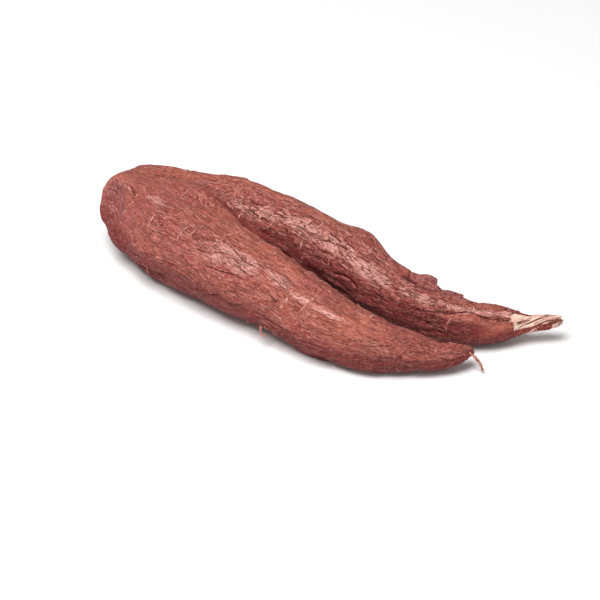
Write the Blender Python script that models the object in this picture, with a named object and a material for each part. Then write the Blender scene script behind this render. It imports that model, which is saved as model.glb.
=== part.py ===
"""Forked cassava root: one blunt crown that divides into two tapering legs, grown as one piece.

The root lies on a flat surface. +X runs from the crown to the leg tips, +Y runs across, +Z is up, and the
origin is at the middle of the root's footprint, on that surface. Lengths are in millimetres up to the last
step, which makes metres of them.
"""

import math
import random

import bmesh
import bpy
import numpy as np
from mathutils import Vector, noise

METRES = 0.001

# Stations along each leg's centre line: x, y, z, half width, half height.
NEAR_LEG = (
    (-122, -22, 31, 27, 28),
    (-88, -27, 30, 30, 30),
    (-47, -32, 29, 28, 28),
    (-7, -35, 27, 25, 25),
    (33, -39, 22.5, 22, 22),
    (68, -36, 18, 18.5, 18.5),
    (94, -25, 15, 13.5, 13.5),
    (112, -14, 13.8, 9.3, 9.3),
    (121, -5, 13.8, 6.6, 6.6),
    (125, 1, 13.8, 4, 4),
)
FAR_LEG = (
    (-134, -3, 29.5, 26, 25.5),
    (-98, 9, 29, 25, 27),
    (-63, 19, 28.5, 24, 27.5),
    (-22, 19, 31, 23, 25),
    (18, 14, 30, 22, 22),
    (48, 11, 25, 20, 20),
    (74, 13, 20, 18, 18),
    (98, 19, 16, 16, 16),
    (116, 27, 15, 13.5, 13.5),
    (126, 35, 15, 11.5, 11.5),
    (134, 41, 15, 8.8, 8.8),
    (138, 44, 15, 8.2, 8.2),
)
# The crown between the legs, which fills the valley up to the fork.
WEB = (
    (-137, -14, 31, 24, 25),
    (-101, -10, 31, 25, 29),
    (-78, -8, 30, 21, 28),
    (-58, -7, 27, 14, 22),
    (-40, -7, 24, 7, 13),
    (-26, -7, 22, 4, 6),
)
CROWN_CAP = 22  # how far the blunt crown runs on past the first station
TIP_CAP = 3  # and each leg past its last one
STUB_CAP = 1
CAP_SHARES = (0.2, 0.4, 0.6, 0.75, 0.87, 0.95, 0.99)  # where a cap's rings lie, as shares of its length
RING_STEP = 2.5
RING_SIDES = 48
STUB_SIDES = 16

# Stubs of broken rootlets on the far leg's back, with stations as above.
STUBS = (
    ((64, 18, 33, 3, 2), (71, 20, 34, 7, 4.5), (78, 23, 33.5, 8, 5.5), (82, 25, 32, 7, 5)),
    ((84, 24, 27.5, 3, 2), (90, 26, 27, 6, 3.5), (97, 29, 25.5, 6, 4), (100, 30.5, 25, 5.5, 4)),
)
# Wood fibres at the far leg's torn tip: start to the left and up, length, half thickness.
FIBRES = (
    (-4.6, 0.5, 9, 2.2),
    (-3, -3.4, 14, 2.1),
    (0.5, 4.4, 13, 2.0),
    (-1.2, 0.6, 20, 2.3),
    (1.6, -3.2, 19, 2.0),
    (3.6, 2.4, 18, 1.9),
    (4.4, -1.4, 24, 2.1),
    (1.2, 0.4, 26, 1.8),
)
# Along each fibre: share of its length, share of its start's offset, share of its thickness.
FIBRE_SHAPE = ((-0.5, 1, 1), (0, 1, 1), (0.4, 0.85, 0.9), (0.75, 0.7, 0.8), (1, 0.75, 0.45))
FIBRE_STEP = 5
FINE_SIDES = 6  # of a fibre or a rootlet
ROOTLET_TIP = 0.5  # thickness at its end, as a share of that at its start
# Fine rootlets left on the skin: points from inside the root outwards, then half thickness at the start.
ROOTLETS = (
    ((121, -4, 13), (127, -2, 13.5), (131, -1.5, 11), (134.5, -1.5, 7.5), (136, -1.5, 4), 1.1),
    ((2, -52, 17), (4, -58, 15.5), (6, -61, 13), (9, -60.5, 11), 0.9),
    ((-78, 34, 33), (-78, 42, 35), (-80, 46, 33.5), (-83, 47.5, 31), 1.0),
    ((51, 26, 22), (52, 32, 21), (55, 35, 19), (58, 35.5, 16), 0.9),
    ((6, 28, 21), (7, 36, 18.5), (10, 40, 15.5), (13, 40.5, 12.5), 0.9),
)
# Raised pale lines across the bark: distance along the leg, turn at each end in degrees from the leg's left.
NEAR_LINES = ((30, 124, 142), (64, 108, 129), (143, 117, 147), (156, 107, 134))
FAR_LINES = (
    (30, 62, 84),
    (67, 85, 122),
    (72, 92, 114),
    (107, 120, 148),
    (137, 90, 131),
    (135, 139, 154),
    (240, 141, 176),
    (254, 91, 114),
)
MORE_LINES = 16  # further ones on each leg, drawn at random from these distances and widths in degrees
MORE_LINES_ALONG = (15, 250)
MORE_LINES_WIDE = (14, 34)
LINE_SEED = 7
LINE_HEIGHT = 0.8
LINE_HALF_WIDTH = 1.4
LINE_BOW = 1.2  # how far a line sways along the leg
LINE_WAVES = 5  # sways in a full turn
LINE_FADE = (0.7, 1.1)  # shares of a line's reach between which it dies away
# Where the stem was snapped off: a dished scar with a swollen rim on the crown's end.
SCAR_CENTRE = (-137.5, -29, 40)
SCAR_FACING = (-0.42, -0.82, 0.38)
SCAR_RADIUS = 17
SCAR_DEPTH = 2.2
SCAR_DISH = 0.3  # the dish is level within this share of the radius
SCAR_INSIDE = 0.7  # the bark is smooth within this one
SCAR_RIM = 1.2
SCAR_RIM_OUT = 1  # the rim's crest lies this far outside the radius
SCAR_RIM_WIDTH = 2.6
SCAR_REACH = (8, 16)  # the pressing dies away between these distances from the scar's plane
SCAR_SOFTNESS = 2.5  # how far the skin may still bulge past the scar's plane
SCAR_SMOOTH = 0.8  # share of the bark's relief that the scar lacks

# The bark's relief: height or depth, then the length and width that it repeats over.
RIDGES = (1.2, 62, 10)
SPLITS = (1.3, 40, 11)
PLATES = (1.6, 24, 9)
LUMPS = (1.3, 34)
SPLIT_WIDTH = 0.22  # as a share of the noise's range
SPLIT_SHIFT = 9  # these shifts keep one pattern from repeating another
PLATE_SHIFT = 5
PLATE_SPREAD = 7.3
FAR_SHIFT = 90
# Long folds low on the near leg's outer side, where the crown narrows into it.
FOLD_DEPTH = 1.1
FOLD_PLACE = (22, 207)  # distance along the near leg and turn round it
FOLD_REACH = (32, 16)
FOLD_EVERY = 10  # degrees
FOLD_SWAY = (0.7, 11)  # radians, and the distance along the leg that it takes
# A swelling on the far leg's back.
SWELLING_HEIGHT = 4.6
SWELLING_PLACE = (159, 55)  # distance along the far leg and turn round it
SWELLING_REACH = (14.5, 33)

VOXEL = 1.1
# Smoothing of the fused skin: its weight, and between which x it dies away.
CROWN_SMOOTHING = (0.4, -81, -51)
LEG_SMOOTHING = (0.08, 54, 69)
SMOOTHING_TIMES = 40
RELIEF_SMOOTHING = 0.5
RELIEF_SMOOTHING_TIMES = 3
TRIANGLES = 10400
REST_HEIGHT = 1.5  # the underside is pressed flat up to here, where the root lies on it
BLEND = 6  # over this depth the bark of one leg passes into the other's
SHARP_ANGLE = 45  # degrees
BARK_COLOUR = (0.36, 0.13, 0.095, 1)
BARK_ROUGHNESS = 0.55


def smooth_run(stations, step=RING_STEP):
    """Rows about one step apart on a Catmull-Rom curve through the stations."""
    knots = np.array(stations, float)
    knots = np.vstack((2 * knots[0] - knots[1], knots, 2 * knots[-1] - knots[-2]))
    run = []
    for before, start, end, after in zip(knots, knots[1:], knots[2:], knots[3:]):
        count = max(1, round(np.linalg.norm(end[:3] - start[:3]) / step))
        for t in np.arange(count) / count:
            run.append(
                start
                + 0.5 * t * (end - before)
                + 0.5 * t**2 * (2 * before - 5 * start + 4 * end - after)
                + 0.5 * t**3 * (3 * start - before - 3 * end + after)
            )
    run.append(knots[-2])
    return np.array(run)


def axes_along(centres):
    """Unit vectors along the run, level across it, and square to both."""
    along = np.gradient(centres, axis=0)
    along /= np.linalg.norm(along, axis=1)[:, None]
    across = np.cross((0, 0, 1), along)
    across /= np.linalg.norm(across, axis=1)[:, None]
    return along, across, np.cross(along, across)


def with_round_ends(run, start_cap, end_cap):
    """The run carried on past both ends by rings that close to a blunt dome."""
    along, _, _ = axes_along(run[:, :3])
    caps = []
    for end, direction, length in ((run[0], -along[0], start_cap), (run[-1], along[-1], end_cap)):
        cap = []
        for share in CAP_SHARES:
            ring = end.copy()
            ring[:3] += direction * length * share
            ring[3:] *= math.sqrt(1 - share**2)
            cap.append(ring)
        caps.append(cap)
    return np.vstack((caps[0][::-1], run, caps[1]))


def add_tube(made, run, sides=RING_SIDES):
    """Adds a closed tube of oval rings, one for each row of the run, to a bmesh."""
    _, across, upward = axes_along(run[:, :3])
    turns = np.arange(sides) * math.tau / sides
    rings = []
    for row, side, up in zip(run, across, upward):
        ring = row[:3] + np.outer(row[3] * np.cos(turns), side) + np.outer(row[4] * np.sin(turns), up)
        rings.append([made.verts.new(point) for point in ring])
    faces = [made.faces.new(rings[0][::-1]), made.faces.new(rings[-1])]
    for ring, following in zip(rings, rings[1:]):
        for i in range(sides):
            j = (i + 1) % sides
            faces.append(made.faces.new((ring[i], ring[j], following[j], following[i])))
    bmesh.ops.recalc_face_normals(made, faces=faces)


def fibre_runs():
    """Rows for the torn wood that stands out of the far leg's broken tip."""
    leg = smooth_run(FAR_LEG)
    along, across, upward = (axis[-1] for axis in axes_along(leg[:, :3]))
    for side, rise, length, half in FIBRES:
        rows = []
        for share, spread, thick in FIBRE_SHAPE:
            place = leg[-1, :3] + along * length * share + (across * side + upward * rise) * spread
            rows.append((*place, half * thick, half * thick))
        yield smooth_run(rows, FIBRE_STEP)


def rootlet_runs():
    """Rows for the fine rootlets, each thinning towards its end."""
    for *places, half in ROOTLETS:
        thickness = np.linspace(half, ROOTLET_TIP * half, len(places))
        yield smooth_run([(*place, thick, thick) for place, thick in zip(places, thickness)])


def settle(obj):
    """Makes the shape that the object's modifiers give its own mesh."""
    evaluated = obj.evaluated_get(bpy.context.evaluated_depsgraph_get())
    mesh = bpy.data.meshes.new_from_object(evaluated)
    obj.modifiers.clear()
    obj.data = mesh


def vectors_of(mesh, kind):
    """One row for each vertex: its place, kind "co", or its normal."""
    values = np.empty(len(mesh.vertices) * 3)
    mesh.vertices.foreach_get(kind, values)
    return values.reshape(-1, 3)


def points_of(mesh):
    return vectors_of(mesh, "co")


def put_points(mesh, points):
    mesh.vertices.foreach_set("co", points.ravel())
    mesh.update()


def ease(mesh, weight, times):
    """Moves each point towards the middle of its neighbours, by its weight, a number of times."""
    ends = np.empty(len(mesh.edges) * 2, int)
    mesh.edges.foreach_get("vertices", ends)
    one, other = ends.reshape(-1, 2).T
    count = np.bincount(ends, minlength=len(mesh.vertices))[:, None]
    points = points_of(mesh)
    for _ in range(times):
        total = np.zeros_like(points)
        for axis in range(3):
            total[:, axis] = np.bincount(one, points[other, axis], len(points))
            total[:, axis] += np.bincount(other, points[one, axis], len(points))
        points += weight[:, None] * (total / count - points)
    put_points(mesh, points)


def ramp(value, low, high):
    """0 below low, 1 above high and a smooth step between them."""
    share = np.clip((value - low) / (high - low), 0, 1)
    return share * share * (3 - 2 * share)


def leg_places(points, run):
    """For each point: its distance along the leg, its places across and up, and its height over the skin."""
    centres = run[:, :3]
    along, across, upward = axes_along(centres)
    nearest = ((points[:, None] - centres[None]) ** 2).sum(2).argmin(1)
    steps = np.linalg.norm(np.diff(centres, axis=0), axis=1)
    start = np.concatenate(((0,), np.cumsum(steps)))[nearest]
    offset = points - centres[nearest]
    side = (offset * across[nearest]).sum(1)
    rise = (offset * upward[nearest]).sum(1)
    size = run[nearest, 3:].mean(1)
    return start + (offset * along[nearest]).sum(1), side, rise, np.hypot(side, rise) - size


def noise_at(*place):
    return noise.noise(Vector(place))


def bark(distance, side, rise):
    """Height of the bark in millimetres: long ridges, splits, and plates that step up from each other."""
    heights = np.empty(len(distance))
    for i, (s, u, v) in enumerate(zip(distance, side, rise)):
        height, length, width = RIDGES
        ridge = height * noise_at(s / length, u / width, v / width)
        height, length, width = SPLITS
        off = abs(noise_at(s / length + SPLIT_SHIFT, u / width, v / width))
        split = height * max(0, 1 - off / SPLIT_WIDTH)
        height, length, width = PLATES
        _, seeds = noise.voronoi(Vector((s / length, u / width, v / width + PLATE_SHIFT)))
        heights[i] = ridge - split + height * noise.noise(seeds[0] * PLATE_SPREAD)
    return heights


def pale_lines(distance, side, rise, lines, draw):
    """Height of the raised lines that run part of the way round a leg."""
    turn = np.degrees(np.arctan2(rise, side))
    drawn = []
    for _ in range(MORE_LINES):
        first = draw.uniform(-180, 180)
        drawn.append((draw.uniform(*MORE_LINES_ALONG), first, first + draw.uniform(*MORE_LINES_WIDE)))
    heights = np.zeros(len(distance))
    for place, first, last in (*lines, *drawn):
        middle, reach = (first + last) / 2, (last - first) / 2
        away = np.abs((turn - middle + 180) % 360 - 180)
        bow = LINE_BOW * np.sin(np.radians(LINE_WAVES * (turn - middle)) + place)
        ridge = LINE_HEIGHT * np.exp(-(((distance - place + bow) / LINE_HALF_WIDTH) ** 2))
        heights = np.maximum(heights, ridge * (1 - ramp(away / reach, *LINE_FADE)))
    return heights


def crown_folds(distance, side, rise):
    """Depth of the long folds."""
    turn = np.degrees(np.arctan2(rise, side)) % 360
    away = (turn - FOLD_PLACE[1]) / FOLD_REACH[1], (distance - FOLD_PLACE[0]) / FOLD_REACH[0]
    sway = FOLD_SWAY[0] * np.sin(distance / FOLD_SWAY[1])
    wave = 0.5 + 0.5 * np.cos(math.tau * turn / FOLD_EVERY + sway)
    return FOLD_DEPTH * np.exp(-away[0] ** 2 - away[1] ** 2) * wave


def swelling(distance, side, rise):
    turn = np.degrees(np.arctan2(rise, side))
    away = (distance - SWELLING_PLACE[0]) / SWELLING_REACH[0], (turn - SWELLING_PLACE[1]) / SWELLING_REACH[1]
    return SWELLING_HEIGHT * np.exp(-away[0] ** 2 - away[1] ** 2)


def grown_body():
    """The crown, the legs and the stubs, fused into one finely meshed solid."""
    made = bmesh.new()
    for stations in (NEAR_LEG, FAR_LEG, WEB):
        add_tube(made, with_round_ends(smooth_run(stations), CROWN_CAP, TIP_CAP))
    for stations in STUBS:
        add_tube(made, with_round_ends(smooth_run(stations), STUB_CAP, STUB_CAP), STUB_SIDES)
    mesh = bpy.data.meshes.new("cassava_root")
    made.to_mesh(mesh)
    made.free()
    root = bpy.data.objects.new("cassava_root", mesh)
    bpy.context.scene.collection.objects.link(root)
    remesh = root.modifiers.new("fuse", "REMESH")
    remesh.mode = "VOXEL"
    remesh.voxel_size = VOXEL
    settle(root)
    x = points_of(root.data)[:, 0]
    smoothing = sum(weight * (1 - ramp(x, *fade)) for weight, *fade in (CROWN_SMOOTHING, LEG_SMOOTHING))
    ease(root.data, smoothing, SMOOTHING_TIMES)
    return root


def press_scar(mesh):
    """Presses the crown's end into a dished scar with a swollen rim. Returns how far each point is in it."""
    points = points_of(mesh)
    facing = np.array(SCAR_FACING) / np.linalg.norm(SCAR_FACING)
    offset = points - SCAR_CENTRE
    depth = offset @ facing
    around = np.linalg.norm(offset - np.outer(depth, facing), axis=1)
    beyond = np.clip(depth, 0, None)
    pressed = SCAR_SOFTNESS * (1 - np.exp(-beyond / SCAR_SOFTNESS)) - beyond
    close = 1 - ramp(np.abs(depth), *SCAR_REACH)
    dish = -SCAR_DEPTH * (1 - ramp(around, SCAR_DISH * SCAR_RADIUS, SCAR_RADIUS))
    rim = SCAR_RIM * np.exp(-(((around - SCAR_RADIUS - SCAR_RIM_OUT) / SCAR_RIM_WIDTH) ** 2))
    put_points(mesh, points + np.outer(pressed + (dish + rim) * close, facing))
    return close * (1 - ramp(around, SCAR_INSIDE * SCAR_RADIUS, SCAR_RADIUS))


def raise_bark(mesh, scarred):
    """Gives the skin its lumps, bark, lines and folds."""
    points = points_of(mesh)
    near = leg_places(points, smooth_run(NEAR_LEG))
    far = leg_places(points, smooth_run(FAR_LEG))
    draw = random.Random(LINE_SEED)
    near_height = bark(*near[:3]) + pale_lines(*near[:3], NEAR_LINES, draw) - crown_folds(*near[:3])
    far_height = bark(far[0] + FAR_SHIFT, *far[1:3]) + pale_lines(*far[:3], FAR_LINES, draw) + swelling(*far[:3])
    share = ramp(near[3] - far[3], -BLEND, BLEND)
    lump = LUMPS[0] * np.array([noise_at(*point) for point in points / LUMPS[1]])
    height = ((1 - share) * near_height + share * far_height) * (1 - SCAR_SMOOTH * scarred) + lump
    put_points(mesh, points + vectors_of(mesh, "normal") * height[:, None])
    ease(mesh, np.full(len(points), RELIEF_SMOOTHING), RELIEF_SMOOTHING_TIMES)


def simplify(root):
    """Keeps the shape with fewer triangles and presses the underside flat."""
    decimate = root.modifiers.new("fewer", "DECIMATE")
    decimate.ratio = TRIANGLES / sum(len(face.vertices) - 2 for face in root.data.polygons)
    settle(root)
    points = points_of(root.data)
    points[points[:, 2] < REST_HEIGHT, 2] = REST_HEIGHT
    put_points(root.data, points)


def join_fine_pieces(root):
    """Joins the torn fibres and the rootlets, which all start inside the root, to it."""
    pieces = bpy.data.collections.new("fine_pieces")
    bpy.context.scene.collection.children.link(pieces)
    for run in (*fibre_runs(), *rootlet_runs()):
        made = bmesh.new()
        add_tube(made, run, FINE_SIDES)
        mesh = bpy.data.meshes.new("fine_piece")
        made.to_mesh(mesh)
        made.free()
        pieces.objects.link(bpy.data.objects.new("fine_piece", mesh))
    join = root.modifiers.new("join", "BOOLEAN")
    join.operation = "UNION"
    join.operand_type = "COLLECTION"
    join.collection = pieces
    settle(root)
    for piece in list(pieces.objects):
        bpy.data.objects.remove(piece)
    bpy.data.collections.remove(pieces)


def bark_material():
    material = bpy.data.materials.new("bark")
    material.use_nodes = True
    shader = material.node_tree.nodes["Principled BSDF"]
    shader.inputs["Base Color"].default_value = BARK_COLOUR
    shader.inputs["Roughness"].default_value = BARK_ROUGHNESS
    shader.inputs["Metallic"].default_value = 0
    return material


def main():
    for leftover in list(bpy.data.objects):
        bpy.data.objects.remove(leftover)
    root = grown_body()
    raise_bark(root.data, press_scar(root.data))
    simplify(root)
    join_fine_pieces(root)
    mesh = root.data
    points = points_of(mesh)
    low, high = points.min(0), points.max(0)
    points -= ((low[0] + high[0]) / 2, (low[1] + high[1]) / 2, low[2])
    put_points(mesh, points * METRES)
    mesh.shade_smooth()
    mesh.set_sharp_from_angle(angle=math.radians(SHARP_ANGLE))
    mesh.materials.clear()
    mesh.materials.append(bark_material())


if __name__ == "__main__":
    main()
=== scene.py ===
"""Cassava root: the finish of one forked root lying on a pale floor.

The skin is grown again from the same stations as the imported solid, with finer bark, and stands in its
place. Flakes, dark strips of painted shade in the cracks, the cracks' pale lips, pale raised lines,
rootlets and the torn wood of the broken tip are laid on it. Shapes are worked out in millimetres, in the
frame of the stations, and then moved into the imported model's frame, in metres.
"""

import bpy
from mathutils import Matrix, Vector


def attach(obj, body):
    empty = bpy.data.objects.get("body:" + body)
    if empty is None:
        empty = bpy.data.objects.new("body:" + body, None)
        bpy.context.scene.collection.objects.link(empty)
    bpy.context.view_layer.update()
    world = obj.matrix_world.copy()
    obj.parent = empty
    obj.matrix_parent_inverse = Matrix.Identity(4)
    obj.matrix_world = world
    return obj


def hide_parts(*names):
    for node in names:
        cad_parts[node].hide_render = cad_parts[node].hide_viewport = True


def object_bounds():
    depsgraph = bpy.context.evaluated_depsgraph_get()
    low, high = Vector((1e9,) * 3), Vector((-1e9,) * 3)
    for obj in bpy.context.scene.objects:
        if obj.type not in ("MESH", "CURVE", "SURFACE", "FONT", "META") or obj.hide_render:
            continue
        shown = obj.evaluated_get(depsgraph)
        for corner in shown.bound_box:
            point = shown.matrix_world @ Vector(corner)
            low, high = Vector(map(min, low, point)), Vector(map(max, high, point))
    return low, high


bl_info = {
    "name": "Cassava Root",
    "version": (1, 0, 0),
    "blender": (4, 5, 0),
    "location": "View3D > Sidebar > Cassava",
    "description": "Grows the bark, flakes, rootlets and torn tip of a forked cassava root",
    "category": "Add Mesh",
}

import math
import random

import bmesh
import bpy
import numpy as np
from bpy.props import FloatProperty, FloatVectorProperty, IntProperty, PointerProperty
from bpy.types import Operator, Panel, PropertyGroup
from mathutils import Vector, noise
from mathutils.bvhtree import BVHTree
from mathutils.kdtree import KDTree

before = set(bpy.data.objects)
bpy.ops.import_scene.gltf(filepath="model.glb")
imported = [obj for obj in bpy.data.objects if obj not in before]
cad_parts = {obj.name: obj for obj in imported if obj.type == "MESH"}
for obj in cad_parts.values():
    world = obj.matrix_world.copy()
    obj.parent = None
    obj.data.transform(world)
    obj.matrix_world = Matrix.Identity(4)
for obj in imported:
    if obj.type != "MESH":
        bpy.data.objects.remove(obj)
CAD_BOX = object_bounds()

NODE = "cassava_root"
BODY = "root"
SKIN = "root_skin"
MM = 0.001
TO_FRAME = (-0.04, -0.09, -1.5)  # from the stations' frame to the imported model's, in millimetres

# Stations along each leg's centre line: x, y, z, half width, half height.
NEAR_LEG = (
    (-122, -22, 31, 27, 28),
    (-88, -27, 30, 30, 30),
    (-47, -32, 29, 28, 28),
    (-7, -35, 27, 25, 25),
    (33, -39, 22.5, 22, 22),
    (68, -36, 18, 18.5, 18.5),
    (94, -25, 15, 13.5, 13.5),
    (112, -14, 13.8, 9.3, 9.3),
    (121, -5, 13.8, 6.6, 6.6),
    (125, 1, 13.8, 4, 4),
)
FAR_LEG = (
    (-134, -3, 29.5, 26, 25.5),
    (-98, 9, 29, 25, 27),
    (-63, 19, 28.5, 24, 27.5),
    (-22, 19, 31, 23, 25),
    (18, 14, 30, 22, 22),
    (48, 11, 25, 20, 20),
    (74, 13, 20, 18, 18),
    (98, 19, 16, 16, 16),
    (116, 27, 15, 13.5, 13.5),
    (126, 35, 15, 11.5, 11.5),
    (134, 41, 15, 8.8, 8.8),
    (138, 44, 15, 8.2, 8.2),
)
LEGS = {"near": NEAR_LEG, "far": FAR_LEG}
# The crown between the legs, which fills the valley up to the fork.
WEB = (
    (-137, -14, 31, 24, 25),
    (-101, -10, 31, 25, 29),
    (-78, -8, 30, 21, 28),
    (-58, -7, 27, 14, 22),
    (-40, -7, 24, 7, 13),
    (-26, -7, 22, 4, 6),
)
CROWN_CAP = 22  # length of the dome on each end of a leg, and of a stub
TIP_CAP = 3
STUB_CAP = 1
CAP_SHARES = (0.2, 0.4, 0.6, 0.75, 0.87, 0.95, 0.99)
RING_STEP = 2.5
RING_SIDES = 48
STUB_SIDES = 24
# Stubs of broken rootlets on the far leg's back, with stations as above.
STUBS = (
    ((64, 18, 33, 3, 2), (71, 20, 34, 7, 4.5), (78, 23, 33.5, 8, 5.5), (82, 25, 32, 7, 5)),
    ((84, 24, 27.5, 3, 2), (90, 26, 27, 6, 3.5), (97, 29, 25.5, 6, 4), (100, 30.5, 25, 5.5, 4)),
)
# Fine rootlets left on the skin: points from inside the root outwards, then half thickness at the start.
ROOTLETS = (
    ((121, -4, 13), (127, -2, 13.5), (131, -1.5, 11), (134.5, -1.5, 7.5), (136, -1.5, 4), 1.1),
    ((2, -52, 17), (4, -58, 15.5), (6, -61, 13), (9, -60.5, 11), 0.9),
    ((-78, 34, 33), (-78, 42, 35), (-80, 46, 33.5), (-83, 47.5, 31), 1.0),
    ((51, 26, 22), (52, 32, 21), (55, 35, 19), (58, 35.5, 16), 0.9),
    ((6, 28, 21), (7, 36, 18.5), (10, 40, 15.5), (13, 40.5, 12.5), 0.9),
)
# Raised pale lines across the bark: distance along the leg, turn at each end in degrees from the leg's left.
LINES = {
    "near": (
        (30, 124, 142),
        (64, 108, 129),
        (143, 112, 150),
        (146, 116, 134),
        (156, 86, 140),
        (159, 104, 122),
        (148, 50, 70),
    ),
    "far": (
        (30, 62, 84),
        (67, 85, 122),
        (72, 92, 114),
        (107, 120, 148),
        (137, 90, 131),
        (135, 139, 154),
        (237, 110, 128),
        (240, 134, 180),
        (254, 91, 128),
        (173, 74, 96),
    ),
}
MORE_LINES = 26  # on each leg, drawn at random between these distances and this many degrees long
MORE_LINES_ALONG = (15, 250)
MORE_LINES_WIDE = (14, 34)
LINE_SEED = 7
LINE_HEIGHT = 0.5
LINE_HALF_WIDTH = 1.2
LINE_BOW = 1.2  # how far a line strays along the leg, and how many times as it goes round
LINE_WAVES = 5
LINE_FADE = (0.7, 1.1)
DOUBLED = 0.35  # share of the pale lines that have a second, shorter one beside them
# Where the stem was snapped off: a dished scar with a swollen rim on the crown's end.
SCAR_CENTRE = (-137.5, -29, 40)
SCAR_FACING = (-0.42, -0.82, 0.38)
SCAR_RADIUS = 17
SCAR_DEPTH = 2.2
SCAR_DISH = 0.3  # shares of the radius from which the dish rises and the scar's colour fades
SCAR_INSIDE = 0.7
SCAR_RIM = 1.2
SCAR_RIM_OUT = 1
SCAR_RIM_WIDTH = 2.6
SCAR_REACH = (8, 16)  # distances from its plane between which it fades
SCAR_SOFTNESS = 2.5
SCAR_SMOOTH = 0.8

# The bark's broad relief: height or depth, then the length and width that it repeats over.
RIDGES = (1.2, 62, 10)
SPLITS = (1.3, 40, 11)
PLATES = (1.6, 24, 9)
LUMPS = (1.3, 34)
SPLIT_WIDTH = 0.22  # value of the noise at which a split ends
SPLIT_SHIFT = 9
PLATE_SHIFT = 5
PLATE_SPREAD = 7.3
FAR_SHIFT = 90  # sets the far leg's pattern apart from the near leg's
# Long folds low on the crown: depth, place and reach as distance and turn, degrees between two, sway.
FOLD_DEPTH = 1.1
FOLD_PLACE = (22, 207)
FOLD_REACH = (32, 16)
FOLD_EVERY = 10
FOLD_SWAY = (0.7, 11)
# The swelling on the far leg's back, with its place and reach as distance and turn.
SWELLING_HEIGHT = 4.6
SWELLING_PLACE = (159, 55)
SWELLING_REACH = (14.5, 33)
SOLID_VOXEL = 1.1  # grid on which the times of smoothing are counted
# How much the crown and the legs are smoothed, and the x between which that fades.
CROWN_SMOOTHING = (0.4, -81, -51)
LEG_SMOOTHING = (0.08, 54, 69)
SMOOTHING_TIMES = 40
RELIEF_SMOOTHING = 0.5
RELIEF_SMOOTHING_TIMES = 3
REST_HEIGHT = 1.5  # of the surface that the root lies on
BLEND = 6  # half width over which one leg's bark passes into the other's

# Cracks that run on for some way: leg, half width, depth, the side that its lip is on (1 is the side of
# growing turn), then its course as distance along the leg and turn.
CRACKS = (
    ("near", 0.7, 1.1, 1, ((78, 108), (91, 107), (100, 114), (106, 118), (113, 116))),
    ("near", 0.6, 0.9, 1, ((82, 127), (90, 121), (95, 120), (101, 124))),
    ("near", 0.7, 1.0, -1, ((83, 148), (90, 147), (96, 145), (102, 142), (109, 141))),
    ("near", 0.5, 0.7, -1, ((98, 131), (104, 129), (112, 133), (118, 128))),
    (
        *("near", 0.7, 1.0, -1),
        ((78, 189), (87, 189), (92, 185), (97, 182), (102, 185), (107, 188), (114, 181)),
    ),
    ("near", 0.7, 1.0, 1, ((-6, 189), (1, 203), (12, 196), (27, 189))),
    ("near", 0.6, 0.9, 1, ((29, 194), (34, 203), (41, 212))),
    ("near", 0.9, 1.3, -1, ((-4, 102), (4, 112), (3, 124))),
    (
        *("far", 0.8, 1.2, 1),
        ((128, 122), (138, 124), (147, 120), (152, 116), (157, 112), (162, 112), (166, 115)),
    ),
    (
        *("far", 0.6, 0.9, 1),
        ((157, 118), (159, 113), (163, 114), (166, 118), (164, 125), (159, 122), (157, 118)),
    ),
    ("far", 0.6, 0.9, 1, ((145, 106), (151, 106), (156, 105))),
    ("far", 0.7, 1.0, -1, ((160, 99), (166, 103), (170, 101), (174, 95))),
    (
        *("far", 0.8, 1.2, -1),
        ((196, 115), (200, 120), (204, 122), (206, 120), (209, 114), (212, 115), (217, 117)),
    ),
    ("far", 0.6, 0.9, -1, ((150, 137), (154, 134), (161, 135), (165, 130))),
    ("far", 0.8, 1.1, 1, ((164, 160), (171, 153), (176, 153), (180, 158))),
    ("far", 0.6, 0.9, -1, ((187, 132), (190, 131), (193, 132))),
    (
        *("far", 0.8, 1.2, -1),
        (
            *((220, 146), (232, 135), (238, 130), (243, 124), (248, 116)),
            *((253, 116), (258, 124), (267, 133), (278, 135)),
        ),
    ),
    ("far", 0.6, 0.9, -1, ((229, 178), (232, 182), (236, 180))),
    ("far", 0.7, 1.0, -1, ((80, 120), (88, 126), (96, 131), (103, 134))),
    ("far", 0.7, 1.0, 1, ((110, 111), (116, 110), (122, 110), (130, 116))),
    ("far", 0.6, 0.9, 1, ((3, 96), (11, 96), (23, 102))),
    ("far", 1.0, 1.3, 1, ((202, 97), (207, 99), (212, 96), (217, 91), (222, 84), (226, 76), (228, 66))),
    ("far", 0.9, 1.1, 1, ((229, 80), (234, 88), (239, 92), (245, 91), (249, 86), (251, 78))),
)
CRACK_LIP = 0.55  # height of a crack's lip as a share of its depth
CRACK_LIP_OFF = 2.2  # its distance from the crack's middle, and its half width, in half widths of the crack
CRACK_LIP_WIDTH = 1.2
CRACK_REACH = (6, 25)  # millimetres and degrees past its course within which a crack is looked for
# Pale strips along creases and breaks: leg, half width, course.
STRIPS = (
    ("near", 0.45, ((7, 110), (5, 122), (3, 133), (1, 145), (-3, 167))),
    ("near", 0.5, ((-12, 103), (-7, 104), (-1, 110))),
    ("near", 0.7, ((122, 111), (128, 113), (135, 117))),
    ("near", 0.35, ((120, 122), (127, 121), (134, 124))),
    ("far", 0.45, ((277.5, 118), (278, 140), (278.5, 165), (279, 190))),
)
# Worn, papery patches with a painted sheen, which along the far leg's ridge is a painted highlight: leg,
# place along, turn, half length, half width in degrees, how worn and bright.
WORN_AND_SHEEN = (
    ("near", 98, 121, 24, 20, 1.0),
    ("near", 23, 104, 11, 8, 0.9),
    ("near", 130, 115, 14, 12, 0.7),
    ("near", 152, 118, 12, 9, 0.7),
    ("near", 170, 119, 14, 7, 0.85),
    ("far", 95, 124, 34, 11, 0.75),
    ("far", 157, 117, 18, 17, 1.1),
    ("far", 185, 120, 18, 15, 1.0),
    ("far", 130, 118, 24, 14, 1.0),
    ("far", 215, 118, 18, 12, 0.9),
    ("far", 255, 112, 26, 12, 0.9),
    ("far", 276, 112, 10, 16, 0.9),
)
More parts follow.
